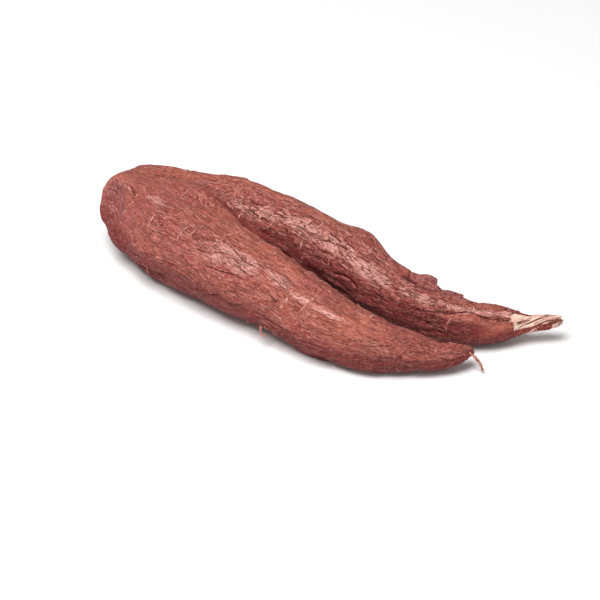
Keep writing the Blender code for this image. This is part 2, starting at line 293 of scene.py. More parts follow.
# Smooth stretches without flakes: the same without the last number.
SMOOTH = (
    ("near", 100, 82, 40, 26),
    ("near", 175, 120, 35, 30),
    ("far", 80, 68, 65, 26),
    ("far", 262, 165, 18, 60),
)
HOLLOW = ("far", 205, 84, 7, 8)  # the pit beside the first stub, darkened with painted shade
HOLLOW_DEPTH = 1.2
STUB_EDGE = (0.5, 1.4)  # the stubs' smooth skin fades between these distances from them
MOAT_FROM = 198  # where along the far leg the groove round the stubs starts; the groove is darkened with painted shade
MOAT_PLACE = 1.8  # its distance from the stubs, then its half width and depth
MOAT_WIDTH = 0.8
MOAT_DEPTH = 0.9
# The crease where the legs part: the x between which it starts, and ends, its half width and depth.
CREASE_START = (-84, -64)
CREASE_END = (20, 50)
CREASE_WIDTH = 2.6
CREASE_DEPTH = 2.6
CREASE_LOWEST = 20
CREASE_SHADE = 6  # half width of the band of painted shade along the crease
# Painted shade on the low side: how dark the bark is by how steeply it faces down: strength, then where it
# starts and is full.
LOW_SIDE = ((1, -0.5, 0.45), (0.4, 0.2, 0.75))
TIP_DUSK = 0.25  # how much darker the near leg grows towards its tip, and between which distances
TIP_DUSK_ALONG = (170, 215)
# Painted shade on the far leg's side that faces the near leg: turns and distances between which it grows.
SHADED_TURN = (128, 158)
SHADED_LAST_TURN = 225
SHADED_START = (50, 75)
SHADED_END = (250, 272)
CALM_CROWN = (85, 110)  # the crown's bark grows calm between these distances before the middle
CALM_BARK = 0.8
CALM_END = (136, 152)  # and its outline between these
CALM_OUTLINE = 0.6
# Where the far leg's bark ends: turn, distance along the leg.
TORN_EDGE = (
    (0, 281),
    (50, 283.5),
    (78, 283),
    (95, 279.5),
    (112, 276),
    (126, 276.5),
    (140, 279.2),
    (205, 279.4),
    (262, 282),
    (320, 279),
    (360, 281),
)
TORN_STEP = 4.5  # how far the skin draws in past there, to lie inside the torn wood
TORN_SHARP = 0.4  # half the width over which it does
TORN_RAGGED = 1.2  # how far the bark's end strays, and the length over which it does
TORN_RAGS = 2.5
TORN_RIM = 0.8  # how far the pale rim beside the bark's end reaches
RIM_PALE = 0.8
# The torn wood: distance beyond the far leg's last station, rise, half width, half height.
STUMP = (
    (-12, 0, 8.2, 8.2),
    (-9, 0, 8.7, 8.6),
    (-6, 0, 8.1, 8.0),
    (-3, -0.2, 6.9, 6.8),
    (0, -0.3, 5.7, 5.6),
    (4, -0.2, 4.7, 4.6),
    (10, 0.6, 4.5, 4.4),
    (16, 0.9, 4.3, 4.0),
    (20, 1.4, 3.5, 3.0),
    (22.5, 1.9, 2.3, 2.0),
)
STUMP_SIDES = 72
STUMP_STEP = 0.6
# Ridges of the torn wood: height, how many over the radius, and the length they sway over.
STUMP_RIDGES = ((1.5, 1.7, 13), (0.8, 4, 7), (0.35, 9, 4))
STUMP_TWIST = math.radians(4.4)  # by which the ridges turn in each millimetre
STUMP_RAGGED = 0.2  # share of the stump's length by which its end is uneven
STUMP_CAP = (0.82, 0.5, 0.2)  # sizes of the rings that close its end
STUMP_CAP_RAGGED = 2.5

DRY_GLOSS = 0.14  # of every finish, against 0.5 for a polished one
SKIN_TRIANGLES = 196000

# The camera looks from these angles, in degrees, with this size of a pixel on the root, in metres.
VIEW_AZIMUTH = 36
VIEW_ELEVATION = 35
VIEW_DISTANCE = 1.6
VIEW_TARGET = (-0.006, -0.002, -0.0015)
VIEW_PIXEL = 0.00066
FRAME_PIXELS = 600
SENSOR = 36


def colour(name, value, words):
    """A colour property with its default."""
    return FloatVectorProperty(
        name=name, description=words, subtype="COLOR", size=4, min=0, max=1, default=(*value, 1)
    )


def length(name, value, words):
    """A length property, in metres, whose default is given in millimetres."""
    return FloatProperty(name=name, description=words, unit="LENGTH", precision=5, min=0, default=value * MM)


def strength(name, value, words, unit):
    """A light's strength or power."""
    return FloatProperty(name=name, description=words, unit=unit, min=0, default=value)


class CassavaBark(PropertyGroup):
    """Sizes and colours of the bark, among them the painted shade of dusk and crack and the painted highlight
    of lip and papery.
    """

    voxel: length("Grid", 0.9, "Grid on which the legs are fused")
    crack_depth: length("Crack depth", 0.5, "Depth of the long cracks")
    crack_length: length("Crack length", 34, "Length over which the long cracks sway")
    crack_spacing: length("Crack spacing", 6.5, "Distance between the long cracks")
    flake_length: length("Flake length", 6.5, "Length of a flake along the leg")
    flake_width: length("Flake width", 2.6, "Width of a flake")
    flake_lift: length("Flake lift", 0.4, "How far a flake's edge stands up")
    bark: colour("Bark", (0.335, 0.080, 0.061), "The bark's own red brown")
    warm: colour("Warm bark", (0.415, 0.113, 0.070), "Smooth orange brown stretches")
    # Dusk is the painted shade laid on the low side, in the crease and on low flakes, and also the dark tone
    # of streaks, fibres, rootlets and torn bark strips.
    dusk: colour("Dusk", (0.185, 0.027, 0.027), "Bark low on the root and in its crease")
    # Crack is painted shade: the dark laid in cracks, flake seams, the crease, the pit and groove by the
    # stubs, and at the very bottom of the root.
    crack: colour("Crack", (0.085, 0.011, 0.013), "The floor of a crack")
    # Lip is pale dried bark with a painted highlight: it lies on crack lips, tilted flake ends and pale
    # streaks, and fades in the painted shade.
    lip: colour("Lip", (0.68, 0.31, 0.255), "Edges that have lifted and dried")
    # Papery is worn, pale bark with a painted sheen, brightest as a painted highlight along the far leg's
    # ridge.
    papery_sheen: colour("Papery bark", (0.80, 0.42, 0.365), "Worn, silvery patches")
    plum: colour("Stub", (0.38, 0.103, 0.103), "The smooth stubs of broken rootlets")
    scar: colour("Stem scar", (0.27, 0.074, 0.068), "Where the stem was snapped off")


class CassavaTrim(PropertyGroup):
    """Sizes and colours of what stands out of the bark."""

    flakes: IntProperty(name="Flakes", description="How many loose flakes lie on it", default=1400, min=0)
    flake_length: length("Loose flake", 3.4, "Usual length of a loose flake")
    flake_width: length("Loose flake width", 1.2, "Usual width of a loose flake")
    flake_lift: length("Loose flake lift", 0.35, "How far a loose flake's end stands up")
    flake_thickness: length("Flake thickness", 0.2, "Thickness of a loose flake")
    line: colour("Pale line", (0.68, 0.36, 0.29), "Raised lines across the bark")
    rootlet: colour("Rootlet", (0.56, 0.27, 0.20), "Fine rootlets")
    wood: colour("Wood", (0.90, 0.70, 0.56), "Torn wood at the broken tip")
    wood_pink: colour("Pink wood", (0.74, 0.40, 0.33), "Torn wood that is stained pink")
    # Wood stain is brown stain and painted shade in the torn wood's grooves.
    wood_stain_and_shade: colour("Wood stain", (0.21, 0.07, 0.05), "Brown grooves in the torn wood")


class CassavaStage(PropertyGroup):
    """Floor and lights."""

    floor: colour("Floor", (0.94, 0.94, 0.94), "The pale floor")
    sky: strength("Sky", 0.28, "Strength of the light from all round", "NONE")
    key: strength("Key light", 45, "Power of the soft light overhead", "POWER")
    fill: strength("Fill light", 1, "Power of the light by the camera", "POWER")


class CassavaSettings(PropertyGroup):
    """Everything that can be set."""

    bark: PointerProperty(type=CassavaBark)
    trim: PointerProperty(type=CassavaTrim)
    stage: PointerProperty(type=CassavaStage)


class Wire:
    """A value, vector or colour in a node tree. A formula on wires adds the Math nodes that work it out."""

    def __init__(self, tree, socket=None):
        self.tree = tree
        self.socket = socket

    def node(self, kind, inputs, output=0, **settings):
        """Adds a node of a kind, sets it up, fills or links its sockets, and returns one of its outputs."""
        made = self.tree.nodes.new(kind)
        for name, value in settings.items():
            setattr(made, name, value)
        for place, value in inputs.items():
            if isinstance(value, Wire):
                self.tree.links.new(value.socket, made.inputs[place])
            else:
                made.inputs[place].default_value = value
        return Wire(self.tree, made.outputs[output]) if len(made.outputs) else None

    def maths(self, operation, first, second=0.0):
        return self.node("ShaderNodeMath", {0: first, 1: second}, operation=operation)

    def __add__(self, other):
        return self.maths("ADD", self, other)

    __radd__ = __add__

    def __sub__(self, other):
        return self.maths("SUBTRACT", self, other)

    def __rsub__(self, other):
        return self.maths("SUBTRACT", other, self)

    def __mul__(self, other):
        return self.maths("MULTIPLY", self, other)

    __rmul__ = __mul__

    def __truediv__(self, other):
        return self.maths("DIVIDE", self, other)

    def __rtruediv__(self, other):
        return self.maths("DIVIDE", other, self)

    def __abs__(self):
        return self.maths("ABSOLUTE", self)


def step(value, low, high):
    """0 at low, 1 at high and a smooth step between them; low may be the greater."""
    places = {"Value": value, "From Min": low, "From Max": high}
    return value.node("ShaderNodeMapRange", places, interpolation_type="SMOOTHSTEP")


def vectors(operation, first, *others, output=0):
    inputs = dict(enumerate((first, *others)))
    return first.node("ShaderNodeVectorMath", inputs, output, operation=operation)


def scaled(vector, factor):
    return vector.node("ShaderNodeVectorMath", {0: vector, "Scale": factor}, operation="SCALE")


def shrunk(grain, along, across, shift=0.0):
    """A place on the leg, measured in features of this length and width."""
    return vectors("MULTIPLY_ADD", grain, (1 / along, 1 / across, 1 / across), (shift, shift, shift))


def speckle(place, detail=2.0, roughness=0.5, output=0):
    inputs = {"Vector": place, "Scale": 1.0, "Detail": detail, "Roughness": roughness}
    return place.node("ShaderNodeTexNoise", inputs, output)


def cells(place, feature="F1", output=0):
    return place.node("ShaderNodeTexVoronoi", {"Vector": place, "Scale": 1.0}, output, feature=feature)


def layer(factor, under, over, blend="MIX"):
    """One colour laid over another by a factor."""
    inputs = {0: factor, 6: under, 7: over}
    return factor.node("ShaderNodeMix", inputs, 2, data_type="RGBA", blend_type=blend)


def painted(base, *coats):
    """A colour under coats of others, each laid on by its factor."""
    for factor, over, *blend in coats:
        base = layer(factor, base, over, *blend)
    return base


BESIDE = 0.4  # millimetres round the leg over which the slope of a pattern is taken
LEAST_SLOPE = 0.014  # for each millimetre: where a pattern is flatter, its lines fade away


def line_gap(place, beside, along, across, shift):
    """Distance in millimetres, round the leg, to the lines on which a noise has its middle value."""
    here = speckle(shrunk(place, along, across, shift), 2.0, 0.55) - 0.5
    there = speckle(shrunk(beside, along, across, shift), 2.0, 0.55) - 0.5
    return here / (abs(there - here) / BESIDE + LEAST_SLOPE)


def bark_pattern(grain, flaky, calm, bark, fine):
    """The bark at a place on a leg: its height in millimetres and where it is cracked, lifted and flaked.

    With fine as 1 its lines are as thin as in the finish, and with 0 as wide as the mesh can show.
    """
    sway = speckle(shrunk(grain, 26, 11), 1.0, output=1)
    swayed = vectors("MULTIPLY_ADD", sway, (9, 4, 4), grain)
    round_leg = vectors("NORMALIZE", vectors("CROSS_PRODUCT", grain, (-1, 0, 0)))
    beside = vectors("MULTIPLY_ADD", round_leg, (BESIDE, BESIDE, BESIDE), swayed)
    long_gap = line_gap(swayed, beside, bark.crack_length / MM, bark.crack_spacing / MM, 0.0)
    long_open = step(speckle(shrunk(grain, 17, 6, 40.0), 2.0), 0.47, 0.6) * (1 - calm) * (0.25 + flaky * 0.9)
    crack = step(abs(long_gap), 1.4 - fine * 1.0, 0.1) * long_open
    lip = step(long_gap, 0.3, 0.75) * step(long_gap, 2.4 - fine * 0.9, 0.9) * long_open
    place = shrunk(swayed, bark.flake_length / MM, bark.flake_width / MM, 20.0)
    away = vectors("SUBTRACT", place, cells(place, output=2))
    lean = vectors("SUBTRACT", cells(place, output=1), (0.5, 0.5, 0.5))
    tilt = vectors("DOT_PRODUCT", away, lean, output=1)
    height = lip * 0.3 - crack * (bark.crack_depth / MM) + flaky * tilt * (2 * bark.flake_lift / MM)
    if not fine:
        return {"height": height}
    fine_gap = line_gap(swayed, beside, 12, 2.3, 70.0)
    fine_open = step(speckle(shrunk(grain, 14, 6, 11.0), 1.0), 0.38, 0.55) * (1 - calm * 0.5)
    fine_crack = step(abs(fine_gap), 0.34, 0.06) * fine_open
    fine_lip = step(fine_gap, 0.2, 0.4) * step(fine_gap, 0.85, 0.5) * fine_open
    seam = step(cells(place, "DISTANCE_TO_EDGE"), 0.09, 0.02) * flaky
    return {
        "height": height + fine_lip * 0.12 - fine_crack * 0.3 - seam * 0.15,
        "crack": crack,
        "fine_crack": fine_crack,
        "lip": lip,
        "fine_lip": fine_lip,
        "curl": step(tilt, 0.08, 0.3) * flaky,
        "seam": seam,
        "tone": vectors("DOT_PRODUCT", lean, (1, 1, 1), output=1) * flaky,
        "fibre": speckle(shrunk(swayed, 6, 0.85, 5.0), 2.0, 0.65),
        "dash": speckle(shrunk(swayed, 3.2, 0.62, 33.0), 1.0, 0.6),
        "streak": speckle(shrunk(swayed, 38, 3.2, 55.0), 2.0, 0.55),
    }


def clouds(spot):
    """The slow changes over the whole root: broad ones, and patches within them."""
    return speckle(shrunk(spot, 34, 24), 3.0, 0.6), speckle(shrunk(spot, 9, 7, 30.0), 3.0, 0.65)


def flakiness(broad, patch, worn_and_sheen, share):
    """How flaky the bark is: the more so in the worn patches, which also carry a painted sheen, and on the
    far leg.
    """
    return step(broad * 0.6 + patch * 0.5 + worn_and_sheen * 0.25 + share * 0.1, 0.52, 0.72) * 0.75 + 0.1


def two_barks(near_grain, far_grain, share, *setup):
    """The near leg's bark passing into the far leg's by their share."""
    near = bark_pattern(near_grain, *setup)
    far = bark_pattern(far_grain, *setup)
    return {name: near[name] + (far[name] - near[name]) * share for name in near}


def seen(start, name, output=2):
    """A mark of the mesh in a material: 2 is a number and 1 a vector."""
    return start.node("ShaderNodeAttribute", {}, output, attribute_name=name)


def carried(start, name, kind="FLOAT"):
    """A mark of the mesh in a geometry tree."""
    return start.node("GeometryNodeInputNamedAttribute", {0: name}, data_type=kind)


def spot_in_mm(start):
    """The place on the root in millimetres."""
    return scaled(start.node("ShaderNodeTexCoord", {}, 3), 1 / MM)


def new_material(name):
    """A material, its start for wires and its Principled shader."""
    made = bpy.data.materials.new(name)
    made.use_nodes = True
    shader = made.node_tree.nodes["Principled BSDF"]
    shader.inputs["Specular IOR Level"].default_value = DRY_GLOSS
    return made, Wire(made.node_tree), shader


def finish_with(start, shader, base, roughness, height, depth=1.0):
    """Feeds the shader its colour, roughness and fine relief, whose height is in millimetres."""
    start.tree.links.new(base.socket, shader.inputs["Base Color"])
    start.tree.links.new(roughness.socket, shader.inputs["Roughness"])
    bump = start.node("ShaderNodeBump", {"Height": height, "Strength": 1.0, "Distance": depth * MM})
    start.tree.links.new(bump.socket, shader.inputs["Normal"])


def skin_material(settings):
    """Red-brown bark with flakes and plum stubs, cracks darkened with painted shade, pale lips and worn
    patches with a painted highlight, and painted shade on its low side and in its crease.
    """
    bark = settings.bark
    made, start, shader = new_material("cassava bark")
    share, calm, smooth, wear_and_sheen = (seen(start, name) for name in ("share", "calm", "smooth", "worn_and_sheen"))
    low, scar, plum, torn = (seen(start, name) for name in ("low", "scar", "plum", "torn"))
    crease, gash, hollow = (seen(start, name) for name in ("crease", "gash", "hollow"))
    spot = spot_in_mm(start)
    broad, patch = clouds(spot)
    grit = speckle(shrunk(spot, 1.1, 1.1), 3.0, 0.7)
    dots = speckle(shrunk(spot, 1.9, 1.9, 4.0), 2.0, 0.6)
    worn_and_sheen = step(wear_and_sheen + patch * 1.1, 0.85, 1.3)
    flaky = flakiness(broad, patch, wear_and_sheen, share) * (1 - smooth)
    grains = (seen(start, name, 1) for name in ("near_grain", "far_grain"))
    look = two_barks(*grains, share, flaky, calm, bark, 1)

    dusk, lip, crack = bark.dusk[:], bark.lip[:], bark.crack[:]
    # Painted shade: low marks where the bark faces down or faces the near leg; there dusk is laid, and crack
    # at the very bottom.
    low = low + patch * 0.4 - 0.2
    shade = step(low, 0.05, 0.8)
    # Lips and pale streaks are partly a painted highlight, so they fade where the painted shade lies.
    lifted = 1 - shade * 0.4
    soft = 1 - calm * 0.6 - smooth * 0.28
    lit = soft * (1 - shade * 0.6)
    dotted = scar * 0.6 + calm * 0.4 + 0.2
    crisp = share * (1 - smooth) * 0.2
    base = painted(
        layer(step(broad + smooth * 0.33, 0.42, 0.66), bark.bark[:], bark.warm[:]),
        (step(look["streak"], 0.5, 0.3) * 0.4, dusk),
        (step(look["streak"], 0.52, 0.7) * 0.25, lip),
        (step(look["tone"], 0.05, 0.6) * 0.35, lip),
        (step(look["tone"], -0.05, -0.6) * 0.3, dusk),
        # worn patches, pale with a painted sheen
        (worn_and_sheen * (0.42 + look["fibre"] * 0.85), bark.papery_sheen[:]),
        (scar * 0.9, bark.scar[:]),
        (plum * 0.9, bark.plum[:]),
        # painted shade on the low side, darkest at the very bottom
        (shade * 0.88, dusk),
        (step(low, 0.95, 1.4) * 0.5, crack),
        (step(look["fibre"], 0.5, 0.3) * soft * 0.72, dusk),
        (step(look["fibre"], 0.53, 0.72) * lit * 0.52, lip),
        (step(look["dash"], 0.47, 0.3) * soft * 0.68, dusk),
        (step(look["dash"], 0.56, 0.72) * lit * 0.62, lip),
        (step(dots, 0.5, 0.34) * dotted * 0.75, dusk),
        (step(dots, 0.54, 0.7) * dotted * 0.6, lip),
        (look["curl"] * (crisp + 0.5) * lifted, lip),
        (look["lip"] * (crisp + 0.6) * lifted, lip),
        (look["fine_lip"] * (crisp + 0.5) * lifted, lip),
        # painted shade in flake seams and cracks
        (look["seam"] * (crisp + 0.62), crack),
        (look["fine_crack"] * (crisp * 0.7 + 0.72), crack),
        (look["crack"] * 0.88, crack),
        # painted shade in the crease, the cracks, the groove round the stubs and the pit
        (crease * 0.7, dusk),
        (step(crease, 0.6, 1) * 0.6, crack),
        (step(gash, 0.3, 0.9) * 0.6, crack),
        (step(hollow, 0.2, 0.8) * 0.8, crack),
        (step(grit, 0.4, 0.7) * 0.5, (1.22, 1.18, 1.18, 1), "MULTIPLY"),
        (step(grit, 0.48, 0.25) * 0.45, (0.62, 0.52, 0.52, 1), "MULTIPLY"),
        (step(torn + patch * 0.3, 0.5, 0.7), settings.trim.wood_pink[:]),
    )
    roughness = 0.52 + look["fibre"] * 0.2 - worn_and_sheen * 0.08
    height = look["height"] * 0.7 + look["fibre"] * 0.45 + grit * 0.35
    finish_with(start, shader, base, roughness, height)
    return made


def relief_tree(bark):
    """Geometry nodes that raise the bark's cracks, lips and flakes out of the skin."""
    tree = bpy.data.node_groups.new("bark relief", "GeometryNodeTree")
    for way in ("INPUT", "OUTPUT"):
        tree.interface.new_socket("Geometry", in_out=way, socket_type="NodeSocketGeometry")
    start = Wire(tree)
    names = "share", "calm", "smooth", "worn_and_sheen", "bare"
    share, calm, smooth, wear_and_sheen, bare = (carried(start, name) for name in names)
    broad, patch = clouds(vectors("ADD", start.node("GeometryNodeInputPosition", {}), TO_FRAME))
    flaky = flakiness(broad, patch, wear_and_sheen, share) * (1 - smooth)
    grains = (carried(start, name, "FLOAT_VECTOR") for name in ("near_grain", "far_grain"))
    height = two_barks(*grains, share, flaky, calm, bark, 0)["height"]
    offset = scaled(start.node("GeometryNodeInputNormal", {}), height * (1 - bare))
    shape = start.node("NodeGroupInput", {})
    moved = start.node("GeometryNodeSetPosition", {"Geometry": shape, "Offset": offset})
    start.node("NodeGroupOutput", {0: moved})
    return tree


def smooth_run(stations, spacing=RING_STEP):
    """Rows about one spacing apart on a Catmull-Rom curve through the stations."""
    knots = np.array(stations, float)
    knots = np.vstack((2 * knots[0] - knots[1], knots, 2 * knots[-1] - knots[-2]))
    run = []
    for before, start, end, after in zip(knots, knots[1:], knots[2:], knots[3:]):
        count = max(1, round(np.linalg.norm(end[:3] - start[:3]) / spacing))
        for t in np.arange(count) / count:
            run.append(
                start
                + 0.5 * t * (end - before)
                + 0.5 * t**2 * (2 * before - 5 * start + 4 * end - after)
                + 0.5 * t**3 * (3 * start - before - 3 * end + after)
            )
    run.append(knots[-2])
    return np.array(run)


def axes_along(centres):
    """Unit vectors along the run, level across it, and square to both."""
    along = np.gradient(centres, axis=0)
    along /= np.linalg.norm(along, axis=1)[:, None]
    across = np.cross((0, 0, 1), along)
    across /= np.linalg.norm(across, axis=1)[:, None]
    return along, across, np.cross(along, across)


def knobbly(run, share, reach):
    """The run with a thickness that varies by up to a share of itself, over a reach in millimetres."""
    for row in run:
        row[3:] *= 1 + share * noise_at(*row[:3] / reach)
    return run


def with_round_ends(run, start_cap, end_cap):
    """The run carried on past both ends by rings that close to a blunt dome."""
    along, _, _ = axes_along(run[:, :3])
    caps = []
    for end, direction, reach in ((run[0], -along[0], start_cap), (run[-1], along[-1], end_cap)):
        cap = []
        for share in CAP_SHARES:
            ring = end.copy()
            ring[:3] += direction * reach * share
            ring[3:] *= math.sqrt(1 - share**2)
            cap.append(ring)
        caps.append(cap)
    return np.vstack((caps[0][::-1], run, caps[1]))


def close_rings(made, rings):
    """Joins rings of vertices into a closed tube with flat ends."""
    faces = [made.faces.new(rings[0][::-1]), made.faces.new(rings[-1])]
    for ring, following in zip(rings, rings[1:]):
        for i in range(len(ring)):
            j = (i + 1) % len(ring)
            faces.append(made.faces.new((ring[i], ring[j], following[j], following[i])))
    bmesh.ops.recalc_face_normals(made, faces=faces)


def add_tube(made, run, sides=RING_SIDES):
    """Adds a closed tube of oval rings, one for each row of the run, to a bmesh."""
    _, across, upward = axes_along(run[:, :3])
    turns = np.arange(sides) * math.tau / sides
    rings = []
    for row, side, up in zip(run, across, upward):
        ring = row[:3] + np.outer(row[3] * np.cos(turns), side) + np.outer(row[4] * np.sin(turns), up)
        rings.append([made.verts.new(point) for point in ring])
    close_rings(made, rings)


def settle(obj):
    """Makes the shape that the object's modifiers give its own mesh."""
    evaluated = obj.evaluated_get(bpy.context.evaluated_depsgraph_get())
    mesh = bpy.data.meshes.new_from_object(evaluated)
    obj.modifiers.clear()
    obj.data = mesh


def vectors_of(mesh, kind="co"):
    """One row for each vertex: its place, or with kind "normal" its normal."""
    values = np.empty(len(mesh.vertices) * 3)
    mesh.vertices.foreach_get(kind, values)
    return values.reshape(-1, 3)


def put_points(mesh, points):
    mesh.vertices.foreach_set("co", points.ravel())
    mesh.update()


def set_mark(mesh, name, values):
    """Writes a number, or a vector, for each vertex."""
    flat = values.ndim == 1
    mark = mesh.attributes.new(name, "FLOAT" if flat else "FLOAT_VECTOR", "POINT")
    mark.data.foreach_set("value" if flat else "vector", np.ascontiguousarray(values, np.float32).ravel())


def get_mark(mesh, name):
    values = np.empty(len(mesh.vertices), np.float32)
    mesh.attributes[name].data.foreach_get("value", values)
    return values


def ease(mesh, weight, times):
    """Moves each point towards the middle of its neighbours, by its weight, a number of times."""
    ends = np.empty(len(mesh.edges) * 2, int)
    mesh.edges.foreach_get("vertices", ends)
    one, other = ends.reshape(-1, 2).T
    count = np.bincount(ends, minlength=len(mesh.vertices))[:, None]
    points = vectors_of(mesh)
    for _ in range(times):
        total = np.zeros_like(points)
        for axis in range(3):
            total[:, axis] = np.bincount(one, points[other, axis], len(points))
            total[:, axis] += np.bincount(other, points[one, axis], len(points))
        points += weight[:, None] * (total / count - points)
    put_points(mesh, points)


def ramp(value, low, high):
    """0 below low, 1 above high and a smooth step between them."""
    share = np.clip((value - low) / (high - low), 0, 1)
    return share * share * (3 - 2 * share)


def distances_along(centres):
    """Distance of each centre from the first, along the run."""
    return np.concatenate(((0,), np.cumsum(np.linalg.norm(np.diff(centres, axis=0), axis=1))))


def leg_places(points, run):
    """For each point: its distance along the run, its places across and up, and its height over the skin."""
    centres = run[:, :3]
    tree = KDTree(len(centres))
    for i, centre in enumerate(centres):
        tree.insert(centre, i)
    tree.balance()
    nearest = np.array([tree.find(point)[1] for point in points])
    along, across, upward = axes_along(centres)
    offset = points - centres[nearest]
    side = (offset * across[nearest]).sum(1)
    rise = (offset * upward[nearest]).sum(1)
    size = run[nearest, 3:].mean(1)
    distance = distances_along(centres)[nearest] + (offset * along[nearest]).sum(1)
    return distance, side, rise, np.hypot(side, rise) - size


def noise_at(*place):
    return noise.noise(Vector(place))


def broad_bark(distance, side, rise, used):
    """Height of the broad bark where it is used: ridges, splits, and plates that step up from each other."""
    heights = np.zeros(len(distance))
    for i in np.flatnonzero(used):
        s, u, v = distance[i], side[i], rise[i]
        height, along, wide = RIDGES
        ridge = height * noise_at(s / along, u / wide, v / wide)
        height, along, wide = SPLITS
        off = abs(noise_at(s / along + SPLIT_SHIFT, u / wide, v / wide))
        split = height * max(0, 1 - off / SPLIT_WIDTH)
        height, along, wide = PLATES
        _, seeds = noise.voronoi(Vector((s / along, u / wide, v / wide + PLATE_SHIFT)))
        heights[i] = ridge - split + height * noise.noise(seeds[0] * PLATE_SPREAD)
    return heights


def all_lines():
    """The pale lines of each leg, with the further ones that are drawn at random."""
    draw = random.Random(LINE_SEED)
    found = {}
    for leg, lines in LINES.items():
        drawn = []
        for _ in range(MORE_LINES):
            first = draw.uniform(-180, 180)
            drawn.append((draw.uniform(*MORE_LINES_ALONG), first, first + draw.uniform(*MORE_LINES_WIDE)))
        found[leg] = (*lines, *drawn)
    return found


def turned(side, rise):
    """Turn round the leg in degrees, 0 on its left and 90 on top."""
    return np.degrees(np.arctan2(rise, side))


def line_bow(turn, middle, place):
    """How far a pale line strays along the leg."""
    return LINE_BOW * np.sin(np.radians(LINE_WAVES * (turn - middle)) + place)


def line_ridges(distance, side, rise, lines):
    """Height of the raised lines that run part of the way round a leg."""
    turn = turned(side, rise)
    heights = np.zeros(len(distance))
    for place, first, last in lines:
        middle, reach = (first + last) / 2, (last - first) / 2
        away = np.abs((turn - middle + 180) % 360 - 180)
        off = distance - place + line_bow(turn, middle, place)
        ridge = LINE_HEIGHT * np.exp(-((off / LINE_HALF_WIDTH) ** 2))
        heights = np.maximum(heights, ridge * (1 - ramp(away / reach, *LINE_FADE)))
    return heights


def crown_folds(distance, side, rise):
    """Depth of the long folds."""
    turn = turned(side, rise) % 360
    away = (turn - FOLD_PLACE[1]) / FOLD_REACH[1], (distance - FOLD_PLACE[0]) / FOLD_REACH[0]
    sway = FOLD_SWAY[0] * np.sin(distance / FOLD_SWAY[1])
    wave = 0.5 + 0.5 * np.cos(math.tau * turn / FOLD_EVERY + sway)
    return FOLD_DEPTH * np.exp(-away[0] ** 2 - away[1] ** 2) * wave


def swelling(distance, side, rise):
    turn = turned(side, rise)
    away = (distance - SWELLING_PLACE[0]) / SWELLING_REACH[0], (turn - SWELLING_PLACE[1]) / SWELLING_REACH[1]
    return SWELLING_HEIGHT * np.exp(-away[0] ** 2 - away[1] ** 2)


def long_cracks(places, leg):
    """Depth of the long cracks on a leg, and how deep in one each point is."""
    distance, side, rise, _ = places
    radius = np.hypot(side, rise)
    turn = turned(side, rise) % 360
    depths, inside = np.zeros(len(distance)), np.zeros(len(distance))
    for of_leg, half, depth, lip_side, course in CRACKS:
        if of_leg != leg:
            continue
        course = smooth_run(course, 2)
        middle, reach = course.mean(0), np.ptp(course, axis=0) / 2 + CRACK_REACH
        close = (np.abs(distance - middle[0]) < reach[0]) & (np.abs(turn - middle[1]) < reach[1])
        near = np.flatnonzero(close)
        here = np.stack((distance[near], np.radians(turn[near]) * radius[near]), 1)
        best = np.full(len(near), np.inf)
        signed = np.zeros(len(near))
        for ends in zip(course, course[1:]):
            start, end = (
                np.stack((np.full(len(near), s), math.radians(t) * radius[near]), 1) for s, t in ends
            )
            span = end - start
            share = np.clip(((here - start) * span).sum(1) / (span**2).sum(1), 0, 1)
            off = here - start - span * share[:, None]
            gap = np.hypot(*off.T)
            closer = gap < best
            best[closer] = gap[closer]
            cross = span[:, 0] * off[:, 1] - span[:, 1] * off[:, 0]
            signed[closer] = np.sign(cross[closer]) * gap[closer]
        groove = np.exp(-((best / half) ** 2))
        lip = np.exp(-(((signed * lip_side - CRACK_LIP_OFF * half) / (CRACK_LIP_WIDTH * half)) ** 2))
        depths[near] = np.maximum(depths[near], depth * groove) - CRACK_LIP * depth * lip * (1 - groove)
        inside[near] = np.maximum(inside[near], groove)
    return depths, inside


def patch_of(places, leg, rows):
    """How much each point is in one of a leg's patches."""
    distance, side, rise, _ = places
    turn = turned(side, rise)
    found = np.zeros(len(distance))
    for of_leg, along, middle, reach, wide, *weight in rows:
        if of_leg == leg:
            off = (turn - middle + 180) % 360 - 180
            depth = np.exp(-(((distance - along) / reach) ** 2) - (off / wide) ** 2)
            found = np.maximum(found, depth * (weight[0] if weight else 1))
    return found


def fused_body(voxel):
    """The crown, the legs and the stubs, fused into one finely meshed skin."""
    made = bmesh.new()
    for stations in (NEAR_LEG, FAR_LEG, WEB):
        add_tube(made, with_round_ends(smooth_run(stations), CROWN_CAP, TIP_CAP))
    for stations in STUBS:
        add_tube(made, with_round_ends(smooth_run(stations), STUB_CAP, STUB_CAP), STUB_SIDES)
    skin = from_bmesh(SKIN, made)
    remesh = skin.modifiers.new("fuse", "REMESH")
    remesh.mode = "VOXEL"
    remesh.voxel_size = voxel
    settle(skin)
    x = vectors_of(skin.data)[:, 0]
    smoothing = sum(weight * (1 - ramp(x, *fade)) for weight, *fade in (CROWN_SMOOTHING, LEG_SMOOTHING))
    ease(skin.data, smoothing, round(SMOOTHING_TIMES * (SOLID_VOXEL / voxel) ** 2))
    return skin


